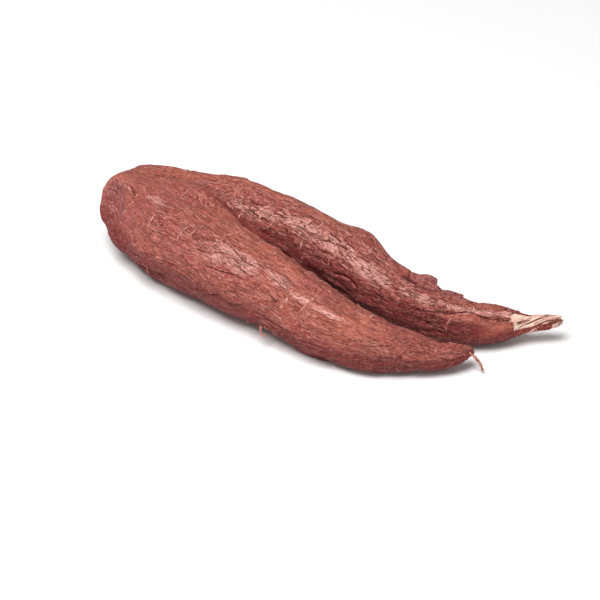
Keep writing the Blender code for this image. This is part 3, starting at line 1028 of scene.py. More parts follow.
def press_scar(mesh):
    """Presses the crown's end into a dished scar with a swollen rim. Returns how far each point is in it."""
    points = vectors_of(mesh)
    facing = np.array(SCAR_FACING) / np.linalg.norm(SCAR_FACING)
    offset = points - SCAR_CENTRE
    depth = offset @ facing
    around = np.linalg.norm(offset - np.outer(depth, facing), axis=1)
    beyond = np.clip(depth, 0, None)
    pressed = SCAR_SOFTNESS * (1 - np.exp(-beyond / SCAR_SOFTNESS)) - beyond
    close = 1 - ramp(np.abs(depth), *SCAR_REACH)
    dish = -SCAR_DEPTH * (1 - ramp(around, SCAR_DISH * SCAR_RADIUS, SCAR_RADIUS))
    rim = SCAR_RIM * np.exp(-(((around - SCAR_RADIUS - SCAR_RIM_OUT) / SCAR_RIM_WIDTH) ** 2))
    put_points(mesh, points + np.outer(pressed + (dish + rim) * close, facing))
    return close * (1 - ramp(around, SCAR_INSIDE * SCAR_RADIUS, SCAR_RADIUS))


def bark_heights(points, places, share, scarred):
    """Height of the broad relief."""
    near, far = places["near"][:3], places["far"][:3]
    lines = all_lines()
    near_height = broad_bark(*near, share < 1) + line_ridges(*near, lines["near"]) - crown_folds(*near)
    far_height = broad_bark(far[0] + FAR_SHIFT, *far[1:], share > 0) + line_ridges(*far, lines["far"])
    far_height += swelling(*far)
    lump = LUMPS[0] * np.array([noise_at(*point) for point in points / LUMPS[1]])
    return ((1 - share) * near_height + share * far_height) * (1 - SCAR_SMOOTH * scarred) + lump


def torn_off(points, far, share):
    """How far each point is past the end of the far leg's bark."""
    turn = turned(*far[1:3]) % 360
    ragged = TORN_RAGGED * np.array([noise_at(*point) for point in points / TORN_RAGS])
    past_edge = far[0] + ragged - np.interp(turn, *np.transpose(TORN_EDGE))
    return ramp(past_edge, -TORN_SHARP, TORN_SHARP) * (share > 0.5)


def darkness(near, far, share):
    """How dark each point is: painted shade on the low side and on the far leg's side that faces the near
    leg, and darker towards the near leg's tip.
    """
    near_up, far_up = (rise / np.hypot(side, rise) for _, side, rise, _ in (near, far))
    facing_down = -(share * far_up + (1 - share) * near_up)
    low = sum(weight * ramp(facing_down, *between) for weight, *between in LOW_SIDE)
    low += TIP_DUSK * ramp(near[0], *TIP_DUSK_ALONG) * (1 - share)
    turn = turned(*far[1:3]) % 360
    shaded = ramp(turn, *SHADED_TURN) * (turn < SHADED_LAST_TURN)
    shaded *= ramp(far[0], *SHADED_START) * (1 - ramp(far[0], *SHADED_END))
    return np.maximum(low, shaded * share)


def raise_bark(mesh, scarred, voxel):
    """Gives the skin its broad relief and its long cracks, and marks each vertex for the finish."""
    points = vectors_of(mesh)
    places = {leg: leg_places(points, smooth_run(stations)) for leg, stations in LEGS.items()}
    near, far = places["near"], places["far"]
    apart = near[3] - far[3]
    share = ramp(apart, -BLEND, BLEND)
    weights = {"near": 1 - share, "far": share}
    end_calm = CALM_OUTLINE * ramp(-points[:, 0], *CALM_END)
    height = bark_heights(points, places, share, scarred) * (1 - end_calm)
    put_points(mesh, points + vectors_of(mesh, "normal") * height[:, None])
    times = round(RELIEF_SMOOTHING_TIMES * (SOLID_VOXEL / voxel) ** 2)
    ease(mesh, np.full(len(points), RELIEF_SMOOTHING), times)

    depths, inside = (
        sum(weights[leg] * values for leg, values in zip(LEGS, column))
        for column in zip(*(long_cracks(places[leg], leg) for leg in LEGS))
    )
    worn_and_sheen, smooth, hollow = (
        sum(weights[leg] * patch_of(places[leg], leg, rows) for leg in LEGS)
        for rows in (WORN_AND_SHEEN, SMOOTH, (HOLLOW,))
    )
    stub_gap = np.min([leg_places(points, smooth_run(stations, 1))[3] for stations in STUBS], axis=0)
    plum = 1 - ramp(stub_gap, *STUB_EDGE)
    moat = np.exp(-(((stub_gap - MOAT_PLACE) / MOAT_WIDTH) ** 2)) * (far[0] > MOAT_FROM)
    in_crease = ramp(points[:, 0], *CREASE_START) * (1 - ramp(points[:, 0], *CREASE_END))
    in_crease *= points[:, 2] > CREASE_LOWEST
    crease = np.exp(-((apart / CREASE_WIDTH) ** 2)) * in_crease
    torn = torn_off(points, far, share)
    depths += HOLLOW_DEPTH * hollow + CREASE_DEPTH * crease + TORN_STEP * torn + MOAT_DEPTH * moat
    put_points(mesh, vectors_of(mesh) - vectors_of(mesh, "normal") * depths[:, None])
    # Of these marks low, crease, gash and hollow carry painted shade into the finish, and the worn patches a
    # painted sheen.
    marks = {
        "near_grain": np.stack(near[:3], 1),
        "far_grain": np.stack((far[0] + FAR_SHIFT * 3, *far[1:3]), 1),
        "share": share,
        "scar": scarred,
        "worn_and_sheen": worn_and_sheen,
        "smooth": smooth,
        "hollow": hollow,
        "plum": plum,
        "torn": torn,
        "gash": np.maximum(inside, moat),
        "low": darkness(near, far, share),
        "crease": np.exp(-((apart / CREASE_SHADE) ** 2)) * in_crease,
        "calm": CALM_BARK * ramp(-points[:, 0], *CALM_CROWN),
        "bare": np.clip(0.75 * scarred + 0.9 * plum + torn + end_calm, 0, 1),
    }
    for name, values in marks.items():
        set_mark(mesh, name, values)


def into_frame(points):
    """Moves points from the stations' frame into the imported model's, and keeps them inside its box."""
    return np.clip((points + TO_FRAME) * MM, CAD_BOX[0], CAD_BOX[1])


def place_piece(obj, material):
    put_points(obj.data, into_frame(vectors_of(obj.data)))
    obj.data.shade_smooth()
    obj.data.materials.clear()
    obj.data.materials.append(material)
    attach(obj, BODY)
    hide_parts(NODE)


def new_object(name, data):
    obj = bpy.data.objects.new(name, data)
    bpy.context.scene.collection.objects.link(obj)
    return obj


def from_bmesh(name, made):
    mesh = bpy.data.meshes.new(name)
    made.to_mesh(mesh)
    made.free()
    return new_object(name, mesh)


def skin_object():
    skin = bpy.data.objects.get(SKIN)
    if skin is None:
        raise RuntimeError("The skin has to be grown first")
    return skin


COVERED = 6  # how far a place on a leg may lie from the leg's own skin and not count as covered


class Surface:
    """The finished skin in the stations' frame, to lay things on."""

    def __init__(self):
        mesh = skin_object().data
        self.faces = [face.vertices[:] for face in mesh.polygons]
        self.tree = BVHTree.FromPolygons((vectors_of(mesh) / MM - TO_FRAME).tolist(), self.faces)
        self.shares = get_mark(mesh, "share")
        self.runs = {leg: smooth_run(stations, 1) for leg, stations in LEGS.items()}
        self.reaches = {leg: distances_along(run[:, :3]) for leg, run in self.runs.items()}
        self.axes = {leg: axes_along(run[:, :3]) for leg, run in self.runs.items()}

    def radius(self, leg, distance):
        """Millimetres from the leg's centre line to its skin, about."""
        return float(np.interp(distance, self.reaches[leg], self.runs[leg][:, 3:].mean(1)))

    def at(self, leg, distance, turn):
        """Place and normal on the skin, or None where the other leg covers it."""
        run, reach = self.runs[leg], self.reaches[leg]
        i = int(np.abs(reach - distance).argmin())
        along, across, upward = (axis[i] for axis in self.axes[leg])
        centre = run[i, :3] + along * (distance - reach[i])
        angle = math.radians(turn)
        outward = across * math.cos(angle) + upward * math.sin(angle)
        place, normal, face, gap = self.tree.ray_cast(Vector(centre), Vector(outward))
        if place is None or abs(gap - run[i, 3:].mean()) > COVERED:
            return None
        if (self.shares[self.faces[face][0]] > 0.5) != (leg == "far"):
            return None
        return np.array(place), np.array(normal)

    def course(self, leg, distances, turns):
        """Places and normals along a course, but for those that are covered."""
        spots = (self.at(leg, *place) for place in zip(distances, turns))
        return [spot for spot in spots if spot]


class CASSAVA_OT_skin(Operator):
    """Grow the skin of the crown and both legs"""

    bl_idname = "cassava.grow_skin"
    bl_label = "Grow Skin"

    def execute(self, context):
        settings = context.scene.cassava
        voxel = settings.bark.voxel / MM
        skin = fused_body(voxel)
        raise_bark(skin.data, press_scar(skin.data), voxel)
        points = vectors_of(skin.data)
        points[:, 2] = np.maximum(points[:, 2], REST_HEIGHT)
        put_points(skin.data, points)
        relief = skin.modifiers.new("relief", "NODES")
        relief.node_group = relief_tree(settings.bark)
        settle(skin)
        fewer = skin.modifiers.new("fewer", "DECIMATE")
        fewer.ratio = min(1, SKIN_TRIANGLES / sum(len(face.vertices) - 2 for face in skin.data.polygons))
        settle(skin)
        place_piece(skin, skin_material(settings))
        return {"FINISHED"}


def sheet_faces(rows, columns, first):
    """Faces of a closed thin sheet: its upper grid of points starts at first, and its lower grid follows."""
    under = first + rows * columns
    faces = []
    for i in range(rows - 1):
        for j in range(columns - 1):
            a, b = i * columns + j, (i + 1) * columns + j
            faces.append((first + a, first + b, first + b + 1, first + a + 1))
            faces.append((under + a, under + a + 1, under + b + 1, under + b))
    edge = list(range(columns))
    edge += [i * columns + columns - 1 for i in range(1, rows)]
    edge += [(rows - 1) * columns + j for j in range(columns - 2, -1, -1)]
    edge += [i * columns for i in range(rows - 2, 0, -1)]
    for a, b in zip(edge, edge[1:] + edge[:1]):
        faces.append((first + a, first + b, under + b, under + a))
    return faces


def from_sheets(name, corners, faces):
    mesh = bpy.data.meshes.new(name)
    mesh.from_pydata(np.concatenate(corners).tolist(), [], faces)
    return new_object(name, mesh)


FLAKE_ROWS = 6
FLAKE_COLUMNS = 4
FLAKE_SEED = 23
FLAKES_FROM = -148  # the crown's very end, before this x, has no loose flakes
FLAKE_CLUMP = (16, 9, 9)  # size of the clumps that they stand in
FLAKE_STRAY = 0.35  # radians by which they usually stray from the leg's direction
FLAKE_SPREAD = 0.35  # spread of their sizes
FLAKE_RAGGED = 0.22  # how ragged their edges are
FLAKE_ROOT = 0.18  # how deep their middles sit in the skin
PALE_GROWTH = 0.9  # how much longer they are where the bark is worn, in the patches that also carry a painted sheen


def flake_material(bark):
    """The bark's colours, paler towards a flake's lifted edges, partly as a painted highlight, with a painted
    sheen where the bark is worn and painted shade where the flake lies low.
    """
    made, start, shader = new_material("cassava flakes")
    tone, lifted, pale, dusky = (seen(start, name) for name in ("tone", "lifted", "pale", "dusky"))
    fibre = speckle(shrunk(seen(start, "flake_grain", 1), 6, 0.6), 2.0, 0.6)
    base = painted(
        layer(tone * 0.4, bark.bark[:], bark.warm[:]),
        (step(fibre, 0.55, 0.3) * 0.5, bark.dusk[:]),
        (pale * (0.3 + fibre * 0.8), bark.papery_sheen[:]),
        (step(lifted + fibre * 0.5, 0.6, 1.3) * (0.35 + tone * 0.45), bark.lip[:]),
        (step(dusky, 0.1, 1) * 0.85, bark.dusk[:]),
    )
    finish_with(start, shader, base, 0.55 + fibre * 0.15, fibre, 0.3)
    return made


def flake_chances(points, marks):
    """Chance of each point of the skin to carry a flake."""
    clump = np.array([noise_at(*point) for point in points / FLAKE_CLUMP])
    want = (0.25 + 0.9 * ramp(clump, 0.0, 0.35) + 1.2 * marks["worn_and_sheen"]) * (1 - 0.85 * marks["smooth"])
    want *= (1 - 0.8 * ramp(-points[:, 0], *CALM_CROWN)) * (points[:, 0] > FLAKES_FROM)
    want *= (1 - np.clip(marks["bare"], 0, 1)) * (1 - marks["gash"]) * (points[:, 2] > REST_HEIGHT + 2)
    return want / want.sum()


def flake_shape(draw, trim, pale):
    """A flake's grid of places ahead, aside and up, the place of its grain, its thickness and its lift."""
    size = draw.lognormal(0, FLAKE_SPREAD) * (1 + PALE_GROWTH * pale)
    half_length = trim.flake_length / MM * size / 2
    half_width = trim.flake_width / MM * size * draw.uniform(0.7, 1.3) / 2
    lift = trim.flake_lift / MM * draw.uniform(0.3, 1.1) * min(1.3, size)
    lean = draw.uniform(-1, 1)
    u, v = np.meshgrid(np.linspace(-1, 1, FLAKE_ROWS), np.linspace(-1, 1, FLAKE_COLUMNS), indexing="ij")
    ragged = 1 + draw.uniform(-FLAKE_RAGGED, FLAKE_RAGGED, u.shape)
    wide = (1 - 0.8 * np.abs(u) ** 1.6) * ragged
    raised = np.clip(0.5 * (1 + u), 0, 1) ** 2 * 0.8 + 0.5 * np.clip(lean * v, 0, 1) ** 2
    height = lift * raised - FLAKE_ROOT
    outer = np.maximum(np.abs(u), np.abs(v))
    thick = trim.flake_thickness / MM * (1 - 0.5 * outer)
    places = np.stack((u * half_length * ragged, v * half_width * wide, height))
    grain = np.stack((u * half_length, v * half_width, height), -1).reshape(-1, 3)
    return places[..., None], grain, thick[..., None], np.clip(outer * 0.7 + raised * 0.5, 0, 1).ravel()


class CASSAVA_OT_flakes(Operator):
    """Lay loose, curling flakes on the bark"""

    bl_idname = "cassava.lay_flakes"
    bl_label = "Lay Flakes"

    def execute(self, context):
        settings = context.scene.cassava
        trim = settings.trim
        mesh = skin_object().data
        points = vectors_of(mesh) / MM - TO_FRAME
        normals = vectors_of(mesh, "normal")
        marks = {name: get_mark(mesh, name) for name in ("worn_and_sheen", "smooth", "bare", "share", "gash", "low")}
        runs = {leg: smooth_run(stations)[:, :3] for leg, stations in LEGS.items()}
        ways = {leg: axes_along(run)[0] for leg, run in runs.items()}
        draw = np.random.default_rng(FLAKE_SEED)
        chosen = draw.choice(len(points), trim.flakes, replace=False, p=flake_chances(points, marks))
        corners, faces = [], []
        laid = {name: [] for name in ("tone", "lifted", "flake_grain", "dusky", "pale")}
        each = FLAKE_ROWS * FLAKE_COLUMNS * 2
        for number, i in enumerate(chosen):
            leg = "far" if marks["share"][i] > 0.5 else "near"
            way = ways[leg][((runs[leg] - points[i]) ** 2).sum(1).argmin()]
            normal = normals[i]
            along = way - normal * (way @ normal)
            along /= np.linalg.norm(along)
            side = np.cross(normal, along)
            turn = draw.normal(0, FLAKE_STRAY)
            cos, sin = math.cos(turn), math.sin(turn)
            along, side = along * cos + side * sin, side * cos - along * sin
            # flakes in the worn patches are pale with a painted sheen
            pale = min(1, float(marks["worn_and_sheen"][i]) * 1.3) * (0.35 + 0.65 * float(marks["share"][i]))
            (ahead, aside, height), grain, thick, lifted = flake_shape(draw, trim, pale)
            top = points[i] + along * ahead + side * aside + normal * height
            corners += [top.reshape(-1, 3), (top - normal * thick).reshape(-1, 3)]
            faces += sheet_faces(FLAKE_ROWS, FLAKE_COLUMNS, each * number)
            laid["tone"].append(np.full(each, draw.uniform(0, 1)))
            laid["pale"].append(np.full(each, pale * draw.uniform(0.4, 1)))
            # painted shade on flakes low on the root
            laid["dusky"].append(np.full(each, marks["low"][i]))
            laid["lifted"] += [lifted, lifted]
            grain[:, 0] += number * 9
            laid["flake_grain"] += [grain, grain]
        obj = from_sheets("bark_flakes", corners, faces)
        for name, values in laid.items():
            set_mark(obj.data, name, np.concatenate(values))
        place_piece(obj, flake_material(settings.bark))
        return {"FINISHED"}


STRIP_SIDES = 6
STRIP_HEIGHT = 0.35  # half the thickness of a pale line
STRIP_SEED = 5
COURSE_STEP = 0.8  # between the rings of what follows a course on the skin
CRACK_FLOOR = 0.5  # half width of a crack's floor, a dark strip of painted shade, as a share of the crack's
CRACK_STRAY = 0.8  # how far a crack's floor strays sideways, and the length over which it does
CRACK_KINK = 3.2
FLOOR_HEIGHT = 0.15  # half the thickness of a crack's floor
USUAL_CRACK = 0.7  # half width of a usual crack, with its pale lip this far from its middle
LIP_OFF = 0.75
LIP_HALF = 0.28
LIP_HEIGHT = 0.25
LIP_LENGTHS = (6, 18)  # of a lip's unbroken stretches, in rings
LINE_TURN = 1.2  # degrees between the rings of a pale line
LINE_HALVES = (0.32, 0.62)  # half widths of the pale lines, then of the second ones beside them
DOUBLE_HALVES = (0.25, 0.4)
DOUBLE_OFF = (1.4, 2.2)


def add_strip(made, rows, half, draw, height=STRIP_HEIGHT, shortest=14, longest=40):
    """Adds a flattened, uneven tube that follows rows of place and normal, in broken stretches."""
    start = 0
    while start < len(rows) - 3:
        end = min(len(rows), start + draw.randint(shortest, longest))
        stretch = rows[start:end]
        places = np.array([place for place, _ in stretch])
        facing = np.array([normal for _, normal in stretch])
        if len(stretch) > 3:
            tangent = np.gradient(places, axis=0)
            across = np.cross(facing, tangent)
            across /= np.linalg.norm(across, axis=1)[:, None]
            shares = np.linspace(-1, 1, len(stretch))
            turns = np.arange(STRIP_SIDES) * math.tau / STRIP_SIDES
            rings = []
            for place, normal, side, share in zip(places, facing, across, shares):
                wide = half * math.sqrt(1.04 - share**2) * draw.uniform(0.7, 1.3)
                ring = place + np.outer(np.cos(turns) * wide, side) + np.outer(np.sin(turns) * height, normal)
                rings.append([made.verts.new(point) for point in ring])
            close_rings(made, rings)
        start = end + draw.randint(0, 1)


def plain_material(name, under, over, along, wide, roughness):
    """A material whose colour wanders between two, with fine fibres."""
    made, start, shader = new_material(name)
    spot = spot_in_mm(start)
    streak = speckle(shrunk(spot, along, wide), 3.0, 0.65)
    grit = speckle(shrunk(spot, 0.8, 0.8), 2.0, 0.6)
    base = layer(step(streak, 0.38, 0.6), under, over)
    base = layer(step(grit, 0.5, 0.3) * 0.4, base, (0.62, 0.55, 0.5, 1), "MULTIPLY")
    finish_with(start, shader, base, roughness + grit * 0.2, streak + grit * 0.6, 0.3)
    return made


class CASSAVA_OT_cracks(Operator):
    """Lay the floors of the long cracks as dark strips of painted shade, and their pale lips, partly a
    painted highlight
    """

    bl_idname = "cassava.lay_cracks"
    bl_label = "Lay Cracks"

    def execute(self, context):
        bark = context.scene.cassava.bark
        surface = Surface()
        draw = random.Random(STRIP_SEED)
        shade_floors, lips = bmesh.new(), bmesh.new()
        for number, (leg, half, _, lip_side, course) in enumerate(CRACKS):
            floor_rows, lip_rows = [], []
            for s, turn in smooth_run(course, COURSE_STEP):
                if surface.at(leg, s, turn) is None:
                    continue
                degree = math.radians(surface.radius(leg, s))
                kink = noise_at(s / CRACK_KINK, turn * degree / CRACK_KINK, number)
                middle = turn + CRACK_STRAY * kink / degree
                aside = lip_side * LIP_OFF * half / USUAL_CRACK / degree
                spot, beside = surface.at(leg, s, middle), surface.at(leg, s, middle + aside)
                if spot and beside:
                    floor_rows.append(spot)
                    lip_rows.append(beside)
            whole = len(floor_rows) + 1
            add_strip(shade_floors, floor_rows, CRACK_FLOOR * half, draw, FLOOR_HEIGHT, whole, whole)
            add_strip(lips, lip_rows, LIP_HALF, draw, LIP_HEIGHT, *LIP_LENGTHS)
        for name, made, colours in (
            ("crack_shade_floors", shade_floors, (bark.crack[:], bark.dusk[:])),
            ("crack_lips", lips, (bark.bark[:], bark.lip[:])),
        ):
            place_piece(from_bmesh(name, made), plain_material(name, *colours, 3, 2, 0.6))
        return {"FINISHED"}


class CASSAVA_OT_lines(Operator):
    """Draw the pale raised lines across the bark"""

    bl_idname = "cassava.draw_lines"
    bl_label = "Draw Pale Lines"

    def execute(self, context):
        settings = context.scene.cassava
        surface = Surface()
        made = bmesh.new()
        draw = random.Random(STRIP_SEED)
        for leg, lines in all_lines().items():
            for place, first, last in lines:
                turns = np.linspace(first, last, max(6, round((last - first) / LINE_TURN)))
                distances = place - line_bow(turns, (first + last) / 2, place)
                add_strip(made, surface.course(leg, distances, turns), draw.uniform(*LINE_HALVES), draw)
                if draw.random() < DOUBLED:
                    kept = slice(*sorted(draw.sample(range(len(turns)), 2)))
                    aside = draw.choice((-1, 1)) * draw.uniform(*DOUBLE_OFF)
                    rows = surface.course(leg, distances[kept] + aside, turns[kept])
                    add_strip(made, rows, draw.uniform(*DOUBLE_HALVES), draw)
        for leg, half, course in STRIPS:
            add_strip(made, surface.course(leg, *smooth_run(course, COURSE_STEP).T), half, draw)
        colours = settings.bark.bark[:], settings.trim.line[:]
        place_piece(from_bmesh("pale_lines", made), plain_material("cassava lines", *colours, 3, 2, 0.5))
        return {"FINISHED"}


ROOTLET_STEP = 0.8
ROOTLET_SIDES = 10
ROOTLET_TIP = 0.75  # thickness of a rootlet's end as a share of its start's
ROOTLET_CAPS = (0.4, 0.5)
ROOTLET_KNOBS = (0.3, 1.7)  # how much its thickness varies, and over which length


class CASSAVA_OT_rootlets(Operator):
    """Grow the fine rootlets"""

    bl_idname = "cassava.grow_rootlets"
    bl_label = "Grow Rootlets"

    def execute(self, context):
        settings = context.scene.cassava
        made = bmesh.new()
        for *places, half in ROOTLETS:
            sizes = np.linspace(half, ROOTLET_TIP * half, len(places))
            run = smooth_run([(*place, size, size) for place, size in zip(places, sizes)], ROOTLET_STEP)
            add_tube(made, with_round_ends(knobbly(run, *ROOTLET_KNOBS), *ROOTLET_CAPS), ROOTLET_SIDES)
        colours = settings.bark.dusk[:], settings.trim.rootlet[:]
        place_piece(from_bmesh("rootlets", made), plain_material("cassava rootlets", *colours, 4, 2, 0.55))
        return {"FINISHED"}


SPLINTERS = 22
SPLINTER_STARTS = (-3, 14)  # distances beyond the leg's end at which splinters start
SPLINTER_LENGTHS = (5, 12)
SPLINTER_HALVES = (0.2, 0.5)
SPLINTER_LIFT = 0.9  # most that a splinter's end stands off the wood
SPLINTER_END = 24  # furthest that a splinter reaches beyond the leg's end
SPLINTER_STEP = 0.9
SPLINTER_SIDES = 7
SPLINTER_KNOBS = (0.35, 1.6)
WOOD_SEED = 31


def far_end():
    """Place and axes of the far leg's end, and its distance along the leg."""
    leg = smooth_run(FAR_LEG)[:, :3]
    along, across, upward = (axis[-1] for axis in axes_along(leg))
    return leg[-1], along, across, upward, distances_along(leg)[-1]


def stump_ridges(turns, place):
    """Height of the torn wood's twisting ridges at some turns, a distance beyond the leg's end."""
    ridges = np.zeros(len(turns))
    for height, times, sway in STUMP_RIDGES:
        for i, turn in enumerate(turns + STUMP_TWIST * place):
            ridges[i] += height * noise_at(times * math.cos(turn), times * math.sin(turn), place / sway)
    return ridges


def stump_rings(end_distance):
    """For each ring of the torn wood: its rise, then distances beyond the leg's end, radii and paleness."""
    turns = np.arange(STUMP_SIDES) * math.tau / STUMP_SIDES
    edge = np.interp(np.degrees(turns), *np.transpose(TORN_EDGE))
    sections = smooth_run([(place, rise, 0, wide, tall) for place, rise, wide, tall in STUMP], STUMP_STEP)
    rings = []
    for place, rise, _, wide, tall in sections:
        ridges = stump_ridges(turns, place)
        radii = np.hypot(wide * np.cos(turns), tall * np.sin(turns)) + ridges * ramp(place, -7, 2)
        uneven = np.array([noise_at(2 * math.cos(t), 2 * math.sin(t), 7.5) for t in turns])
        uneven += np.array([0.6 * noise_at(5 * math.cos(t), 5 * math.sin(t), 3.5) for t in turns])
        places = place * (1 + STUMP_RAGGED * uneven * ramp(place, 6, 22))
        rim = np.exp(-(((end_distance + place - edge) / TORN_RIM) ** 2))
        rings.append((rise, places, radii, ridges + RIM_PALE * rim))
    return turns, rings


def wood_material(trim):
    """Pale torn wood, pink where it is thin and stained brown in its grooves, a stain that is partly painted
    shade.
    """
    made, start, shader = new_material("cassava wood")
    spot = spot_in_mm(start)
    streak = speckle(shrunk(spot, 1.3, 1.3), 3.0, 0.65)
    cloud = speckle(shrunk(spot, 3.5, 3.5, 9.0), 2.0, 0.6)
    pale = step(seen(start, "ridge") + (streak + cloud) * 0.7, 0.35, 0.75)
    base = layer(step(cloud + streak * 0.4, 0.6, 0.85), trim.wood[:], trim.wood_pink[:])
    base = layer(pale, trim.wood_stain_and_shade[:], base)
    base = layer(step(streak, 0.5, 0.3) * 0.45, base, (0.66, 0.5, 0.42, 1), "MULTIPLY")
    finish_with(start, shader, base, 0.6 + streak * 0.2, streak, 0.4)
    return made


def add_stump(made, ridge):
    """Adds the stump of torn wood, with the height of its ridges as a mark."""
    end, along, across, upward, end_distance = far_end()
    turns, rings = stump_rings(end_distance)
    loops = []
    for shrink in (*[1] * len(rings), *STUMP_CAP):
        rise, places, radii, ridges = rings[min(len(loops), len(rings) - 1)]
        loop = []
        for turn, place, radius, height in zip(turns, places, radii, ridges):
            outward = across * math.cos(turn) + upward * math.sin(turn)
            ragged = noise_at(4 * shrink, 3 * math.cos(turn), 3 * math.sin(turn))
            deep = (1 - shrink) * STUMP_CAP_RAGGED * ragged
            spot = end + along * (place + deep) + upward * rise + outward * radius * shrink
            loop.append(made.verts.new(spot))
            loop[-1][ridge] = height
        loops.append(loop)
    close_rings(made, loops)


def add_splinters(made, ridge):
    """Adds splinters that follow the stump's twist, each with its own shade as a mark."""
    end, along, across, upward, _ = far_end()
    draw = random.Random(WOOD_SEED)
    stump = np.transpose(STUMP)
    for _ in range(SPLINTERS):
        first = draw.uniform(*SPLINTER_STARTS)
        reach = min(draw.uniform(*SPLINTER_LENGTHS), SPLINTER_END - first)
        turn = draw.uniform(0, math.tau)
        half, lift = draw.uniform(*SPLINTER_HALVES), draw.uniform(0, SPLINTER_LIFT)
        rows = []
        for share in np.linspace(0, 1, 5):
            place = first + reach * share
            around = turn - STUMP_TWIST * (place - first)
            rise, wide, tall = (np.interp(place, stump[0], column) for column in stump[1:])
            bumps = stump_ridges(np.array([around]), place)[0]
            radius = (wide + tall) / 2 + bumps * 0.8 + lift * share**2 - 0.1
            outward = across * math.cos(around) + upward * math.sin(around)
            spot = end + along * place + upward * rise + outward * radius
            taper = half * (1 - 0.5 * share)
            rows.append((*spot, taper, taper * 0.8))
        run = knobbly(smooth_run(rows, SPLINTER_STEP), *SPLINTER_KNOBS)
        before = len(made.verts)
        add_tube(made, run, SPLINTER_SIDES)
        made.verts.ensure_lookup_table()
        shade = draw.uniform(-0.3, 0.6)
        for vert in made.verts[before:]:
            vert[ridge] = shade


class CASSAVA_OT_wood(Operator):
    """Build the torn wood at the far leg's tip, with its splinters"""

    bl_idname = "cassava.split_wood"
    bl_label = "Split Torn Wood"

    def execute(self, context):
        made = bmesh.new()
        ridge = made.verts.layers.float.new("ridge")
        add_stump(made, ridge)
        add_splinters(made, ridge)
        place_piece(from_bmesh("torn_wood", made), wood_material(context.scene.cassava.trim))
        return {"FINISHED"}


# Strips of bark left on the torn tip: thickness, then distance beyond the leg's end and the turns between
# which the strip lies there.
BARK_STRIPS = (
    (
        0.8,
        (
            (-9, 180, 282),
            (-3, 174, 274),
            (4, 167, 266),
            (11, 160, 262),
            (15, 156, 252),
            (17, 166, 240),
            (18, 185, 225),
        ),
    ),
    (0.6, ((-9, 30, 94), (-3, 36, 92), (1, 44, 84), (5, 56, 72))),
    (0.8, ((-9, 296, 352), (0, 303, 348), (8, 318, 336))),
)
STRIP_ROWS = 30
STRIP_COLUMNS = 18
STRIP_RISE = (-9, -3)  # between which a strip comes up to its full thickness
STRIP_EDGE = 1.5  # degrees by which its edges stray
STRIP_END = (1.2, 3)  # how ragged its end is, and how far back
STRIP_ROUGH = 0.15


class CASSAVA_OT_torn_bark(Operator):
    """Leave ragged strips of bark on the torn tip"""

    bl_idname = "cassava.tear_bark"
    bl_label = "Tear Bark"

    def execute(self, context):
        settings = context.scene.cassava
        end, along, across, upward, _ = far_end()
        draw = np.random.default_rng(WOOD_SEED)
        corners, faces = [], []
        stump = np.transpose(STUMP)
        each = STRIP_ROWS * STRIP_COLUMNS * 2
        for number, (thick, course) in enumerate(BARK_STRIPS):
            places, *sides = np.transpose(course)
            last = places[-1]
            beyond = np.linspace(places[0], last, STRIP_ROWS)[:, None]
            edges = [
                np.interp(beyond, places, side) + draw.normal(0, STRIP_EDGE, beyond.shape) for side in sides
            ]
            turns = np.radians(edges[0] + (edges[1] - edges[0]) * np.linspace(0, 1, STRIP_COLUMNS))
            torn = STRIP_END[0] * draw.uniform(-1, 0, STRIP_COLUMNS)
            ahead = beyond + torn * ramp(beyond, last - STRIP_END[1], last)
            under = np.interp(beyond, stump[0], stump[2:].mean(0))
            rise = np.interp(beyond, stump[0], stump[1])
            for lift in (thick, 0):
                radius = under + lift * ramp(beyond, *STRIP_RISE)
                radius = radius + STRIP_ROUGH * draw.normal(0, 1, turns.shape)
                aside, up = radius * np.cos(turns), rise + radius * np.sin(turns)
                spots = end + along * ahead[..., None] + across * aside[..., None] + upward * up[..., None]
                corners.append(spots.reshape(-1, 3))
            faces += sheet_faces(STRIP_ROWS, STRIP_COLUMNS, each * number)
        obj = from_sheets("torn_bark", corners, faces)
        shape = bmesh.new()
        shape.from_mesh(obj.data)
        bmesh.ops.recalc_face_normals(shape, faces=shape.faces)
        shape.to_mesh(obj.data)
        shape.free()
        colours = settings.bark.dusk[:], settings.bark.bark[:]
        place_piece(obj, plain_material("cassava torn bark", *colours, 9, 1.5, 0.55))
        return {"FINISHED"}


FLOOR_HALF = 3  # metres, as are the sizes and places of the lights
FLOOR_ROUGHNESS = 0.9
KEY_SIZE = 1.22
KEY_PLACE = (-0.08, -0.7, 1.88)
FILL_SIZE = 0.7
FILL_PLACE = (0.75, -0.95, 0.75)


def aim(rig, place, direction):
    """Puts a light or the camera in its place, looking in a direction."""
    rig.location = place
    rig.rotation_mode = "QUATERNION"
    rig.rotation_quaternion = direction.to_track_quat("-Z", "Y")


def add_light(name, place, size, power):
    light = bpy.data.lights.new(name, "AREA")
    light.size = size
    light.energy = power
    aim(new_object(name, light), place, -Vector(place))


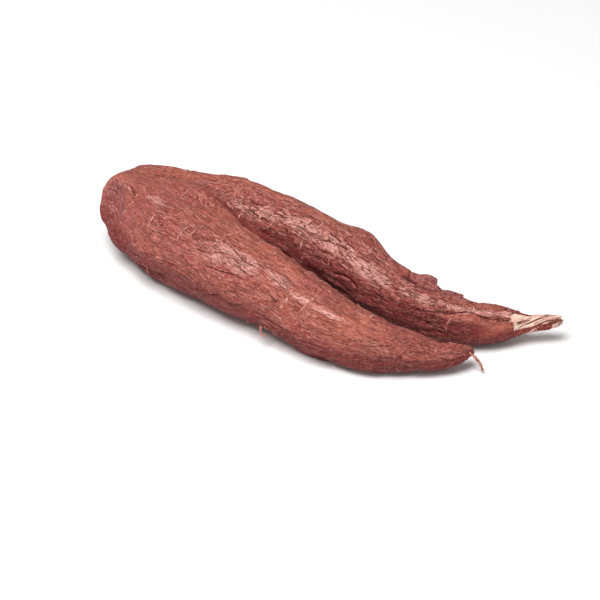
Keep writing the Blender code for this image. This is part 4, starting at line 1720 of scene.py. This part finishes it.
class CASSAVA_OT_stage(Operator):
    """Set the floor, the lights and the camera"""

    bl_idname = "cassava.set_stage"
    bl_label = "Set Stage"

    def execute(self, context):
        scene = context.scene
        stage = scene.cassava.stage
        made = bmesh.new()
        bmesh.ops.create_grid(made, x_segments=1, y_segments=1, size=FLOOR_HALF)
        floor = from_bmesh("floor", made)
        material, _, shader = new_material("pale floor")
        shader.inputs["Base Color"].default_value = stage.floor
        shader.inputs["Roughness"].default_value = FLOOR_ROUGHNESS
        floor.data.materials.append(material)

        world = bpy.data.worlds.new("soft studio")
        world.use_nodes = True
        background = world.node_tree.nodes["Background"].inputs
        background["Color"].default_value = (1, 1, 1, 1)
        background["Strength"].default_value = stage.sky
        scene.world = world
        add_light("key", KEY_PLACE, KEY_SIZE, stage.key)
        add_light("fill", FILL_PLACE, FILL_SIZE, stage.fill)

        azimuth, elevation = math.radians(VIEW_AZIMUTH), math.radians(VIEW_ELEVATION)
        level = math.cos(elevation)
        back = Vector((math.sin(azimuth) * level, -math.cos(azimuth) * level, math.sin(elevation)))
        camera = bpy.data.cameras.new("camera")
        camera.sensor_width = SENSOR
        camera.lens = SENSOR * VIEW_DISTANCE / (VIEW_PIXEL * FRAME_PIXELS)
        scene.camera = new_object("camera", camera)
        aim(scene.camera, Vector(VIEW_TARGET) + back * VIEW_DISTANCE, -back)
        scene.view_settings.view_transform = "Standard"
        return {"FINISHED"}


class CASSAVA_PT_panel(Panel):
    """Lists the steps and their settings"""

    bl_idname = "CASSAVA_PT_panel"
    bl_label = "Cassava Root"
    bl_space_type = "VIEW_3D"
    bl_region_type = "UI"
    bl_category = "Cassava"

    def draw(self, context):
        settings = context.scene.cassava
        for group in (settings.bark, settings.trim, settings.stage):
            box = self.layout.box()
            for name in group.bl_rna.properties.keys():
                if name not in ("name", "rna_type"):
                    box.prop(group, name)
        for operator in STEPS:
            self.layout.operator(operator.bl_idname)


STEPS = (
    CASSAVA_OT_stage,
    CASSAVA_OT_skin,
    CASSAVA_OT_flakes,
    CASSAVA_OT_cracks,
    CASSAVA_OT_lines,
    CASSAVA_OT_rootlets,
    CASSAVA_OT_wood,
    CASSAVA_OT_torn_bark,
)
CLASSES = (CassavaBark, CassavaTrim, CassavaStage, CassavaSettings, *STEPS, CASSAVA_PT_panel)


def register():
    for made in CLASSES:
        bpy.utils.register_class(made)
    bpy.types.Scene.cassava = PointerProperty(type=CassavaSettings)


def unregister():
    del bpy.types.Scene.cassava
    for made in reversed(CLASSES):
        bpy.utils.unregister_class(made)


def main():
    register()
    bpy.ops.cassava.set_stage()
    bpy.ops.cassava.grow_skin()
    bpy.ops.cassava.lay_flakes()
    bpy.ops.cassava.lay_cracks()
    bpy.ops.cassava.draw_lines()
    bpy.ops.cassava.grow_rootlets()
    bpy.ops.cassava.split_wood()
    bpy.ops.cassava.tear_bark()


if __name__ == "__main__":
    main()
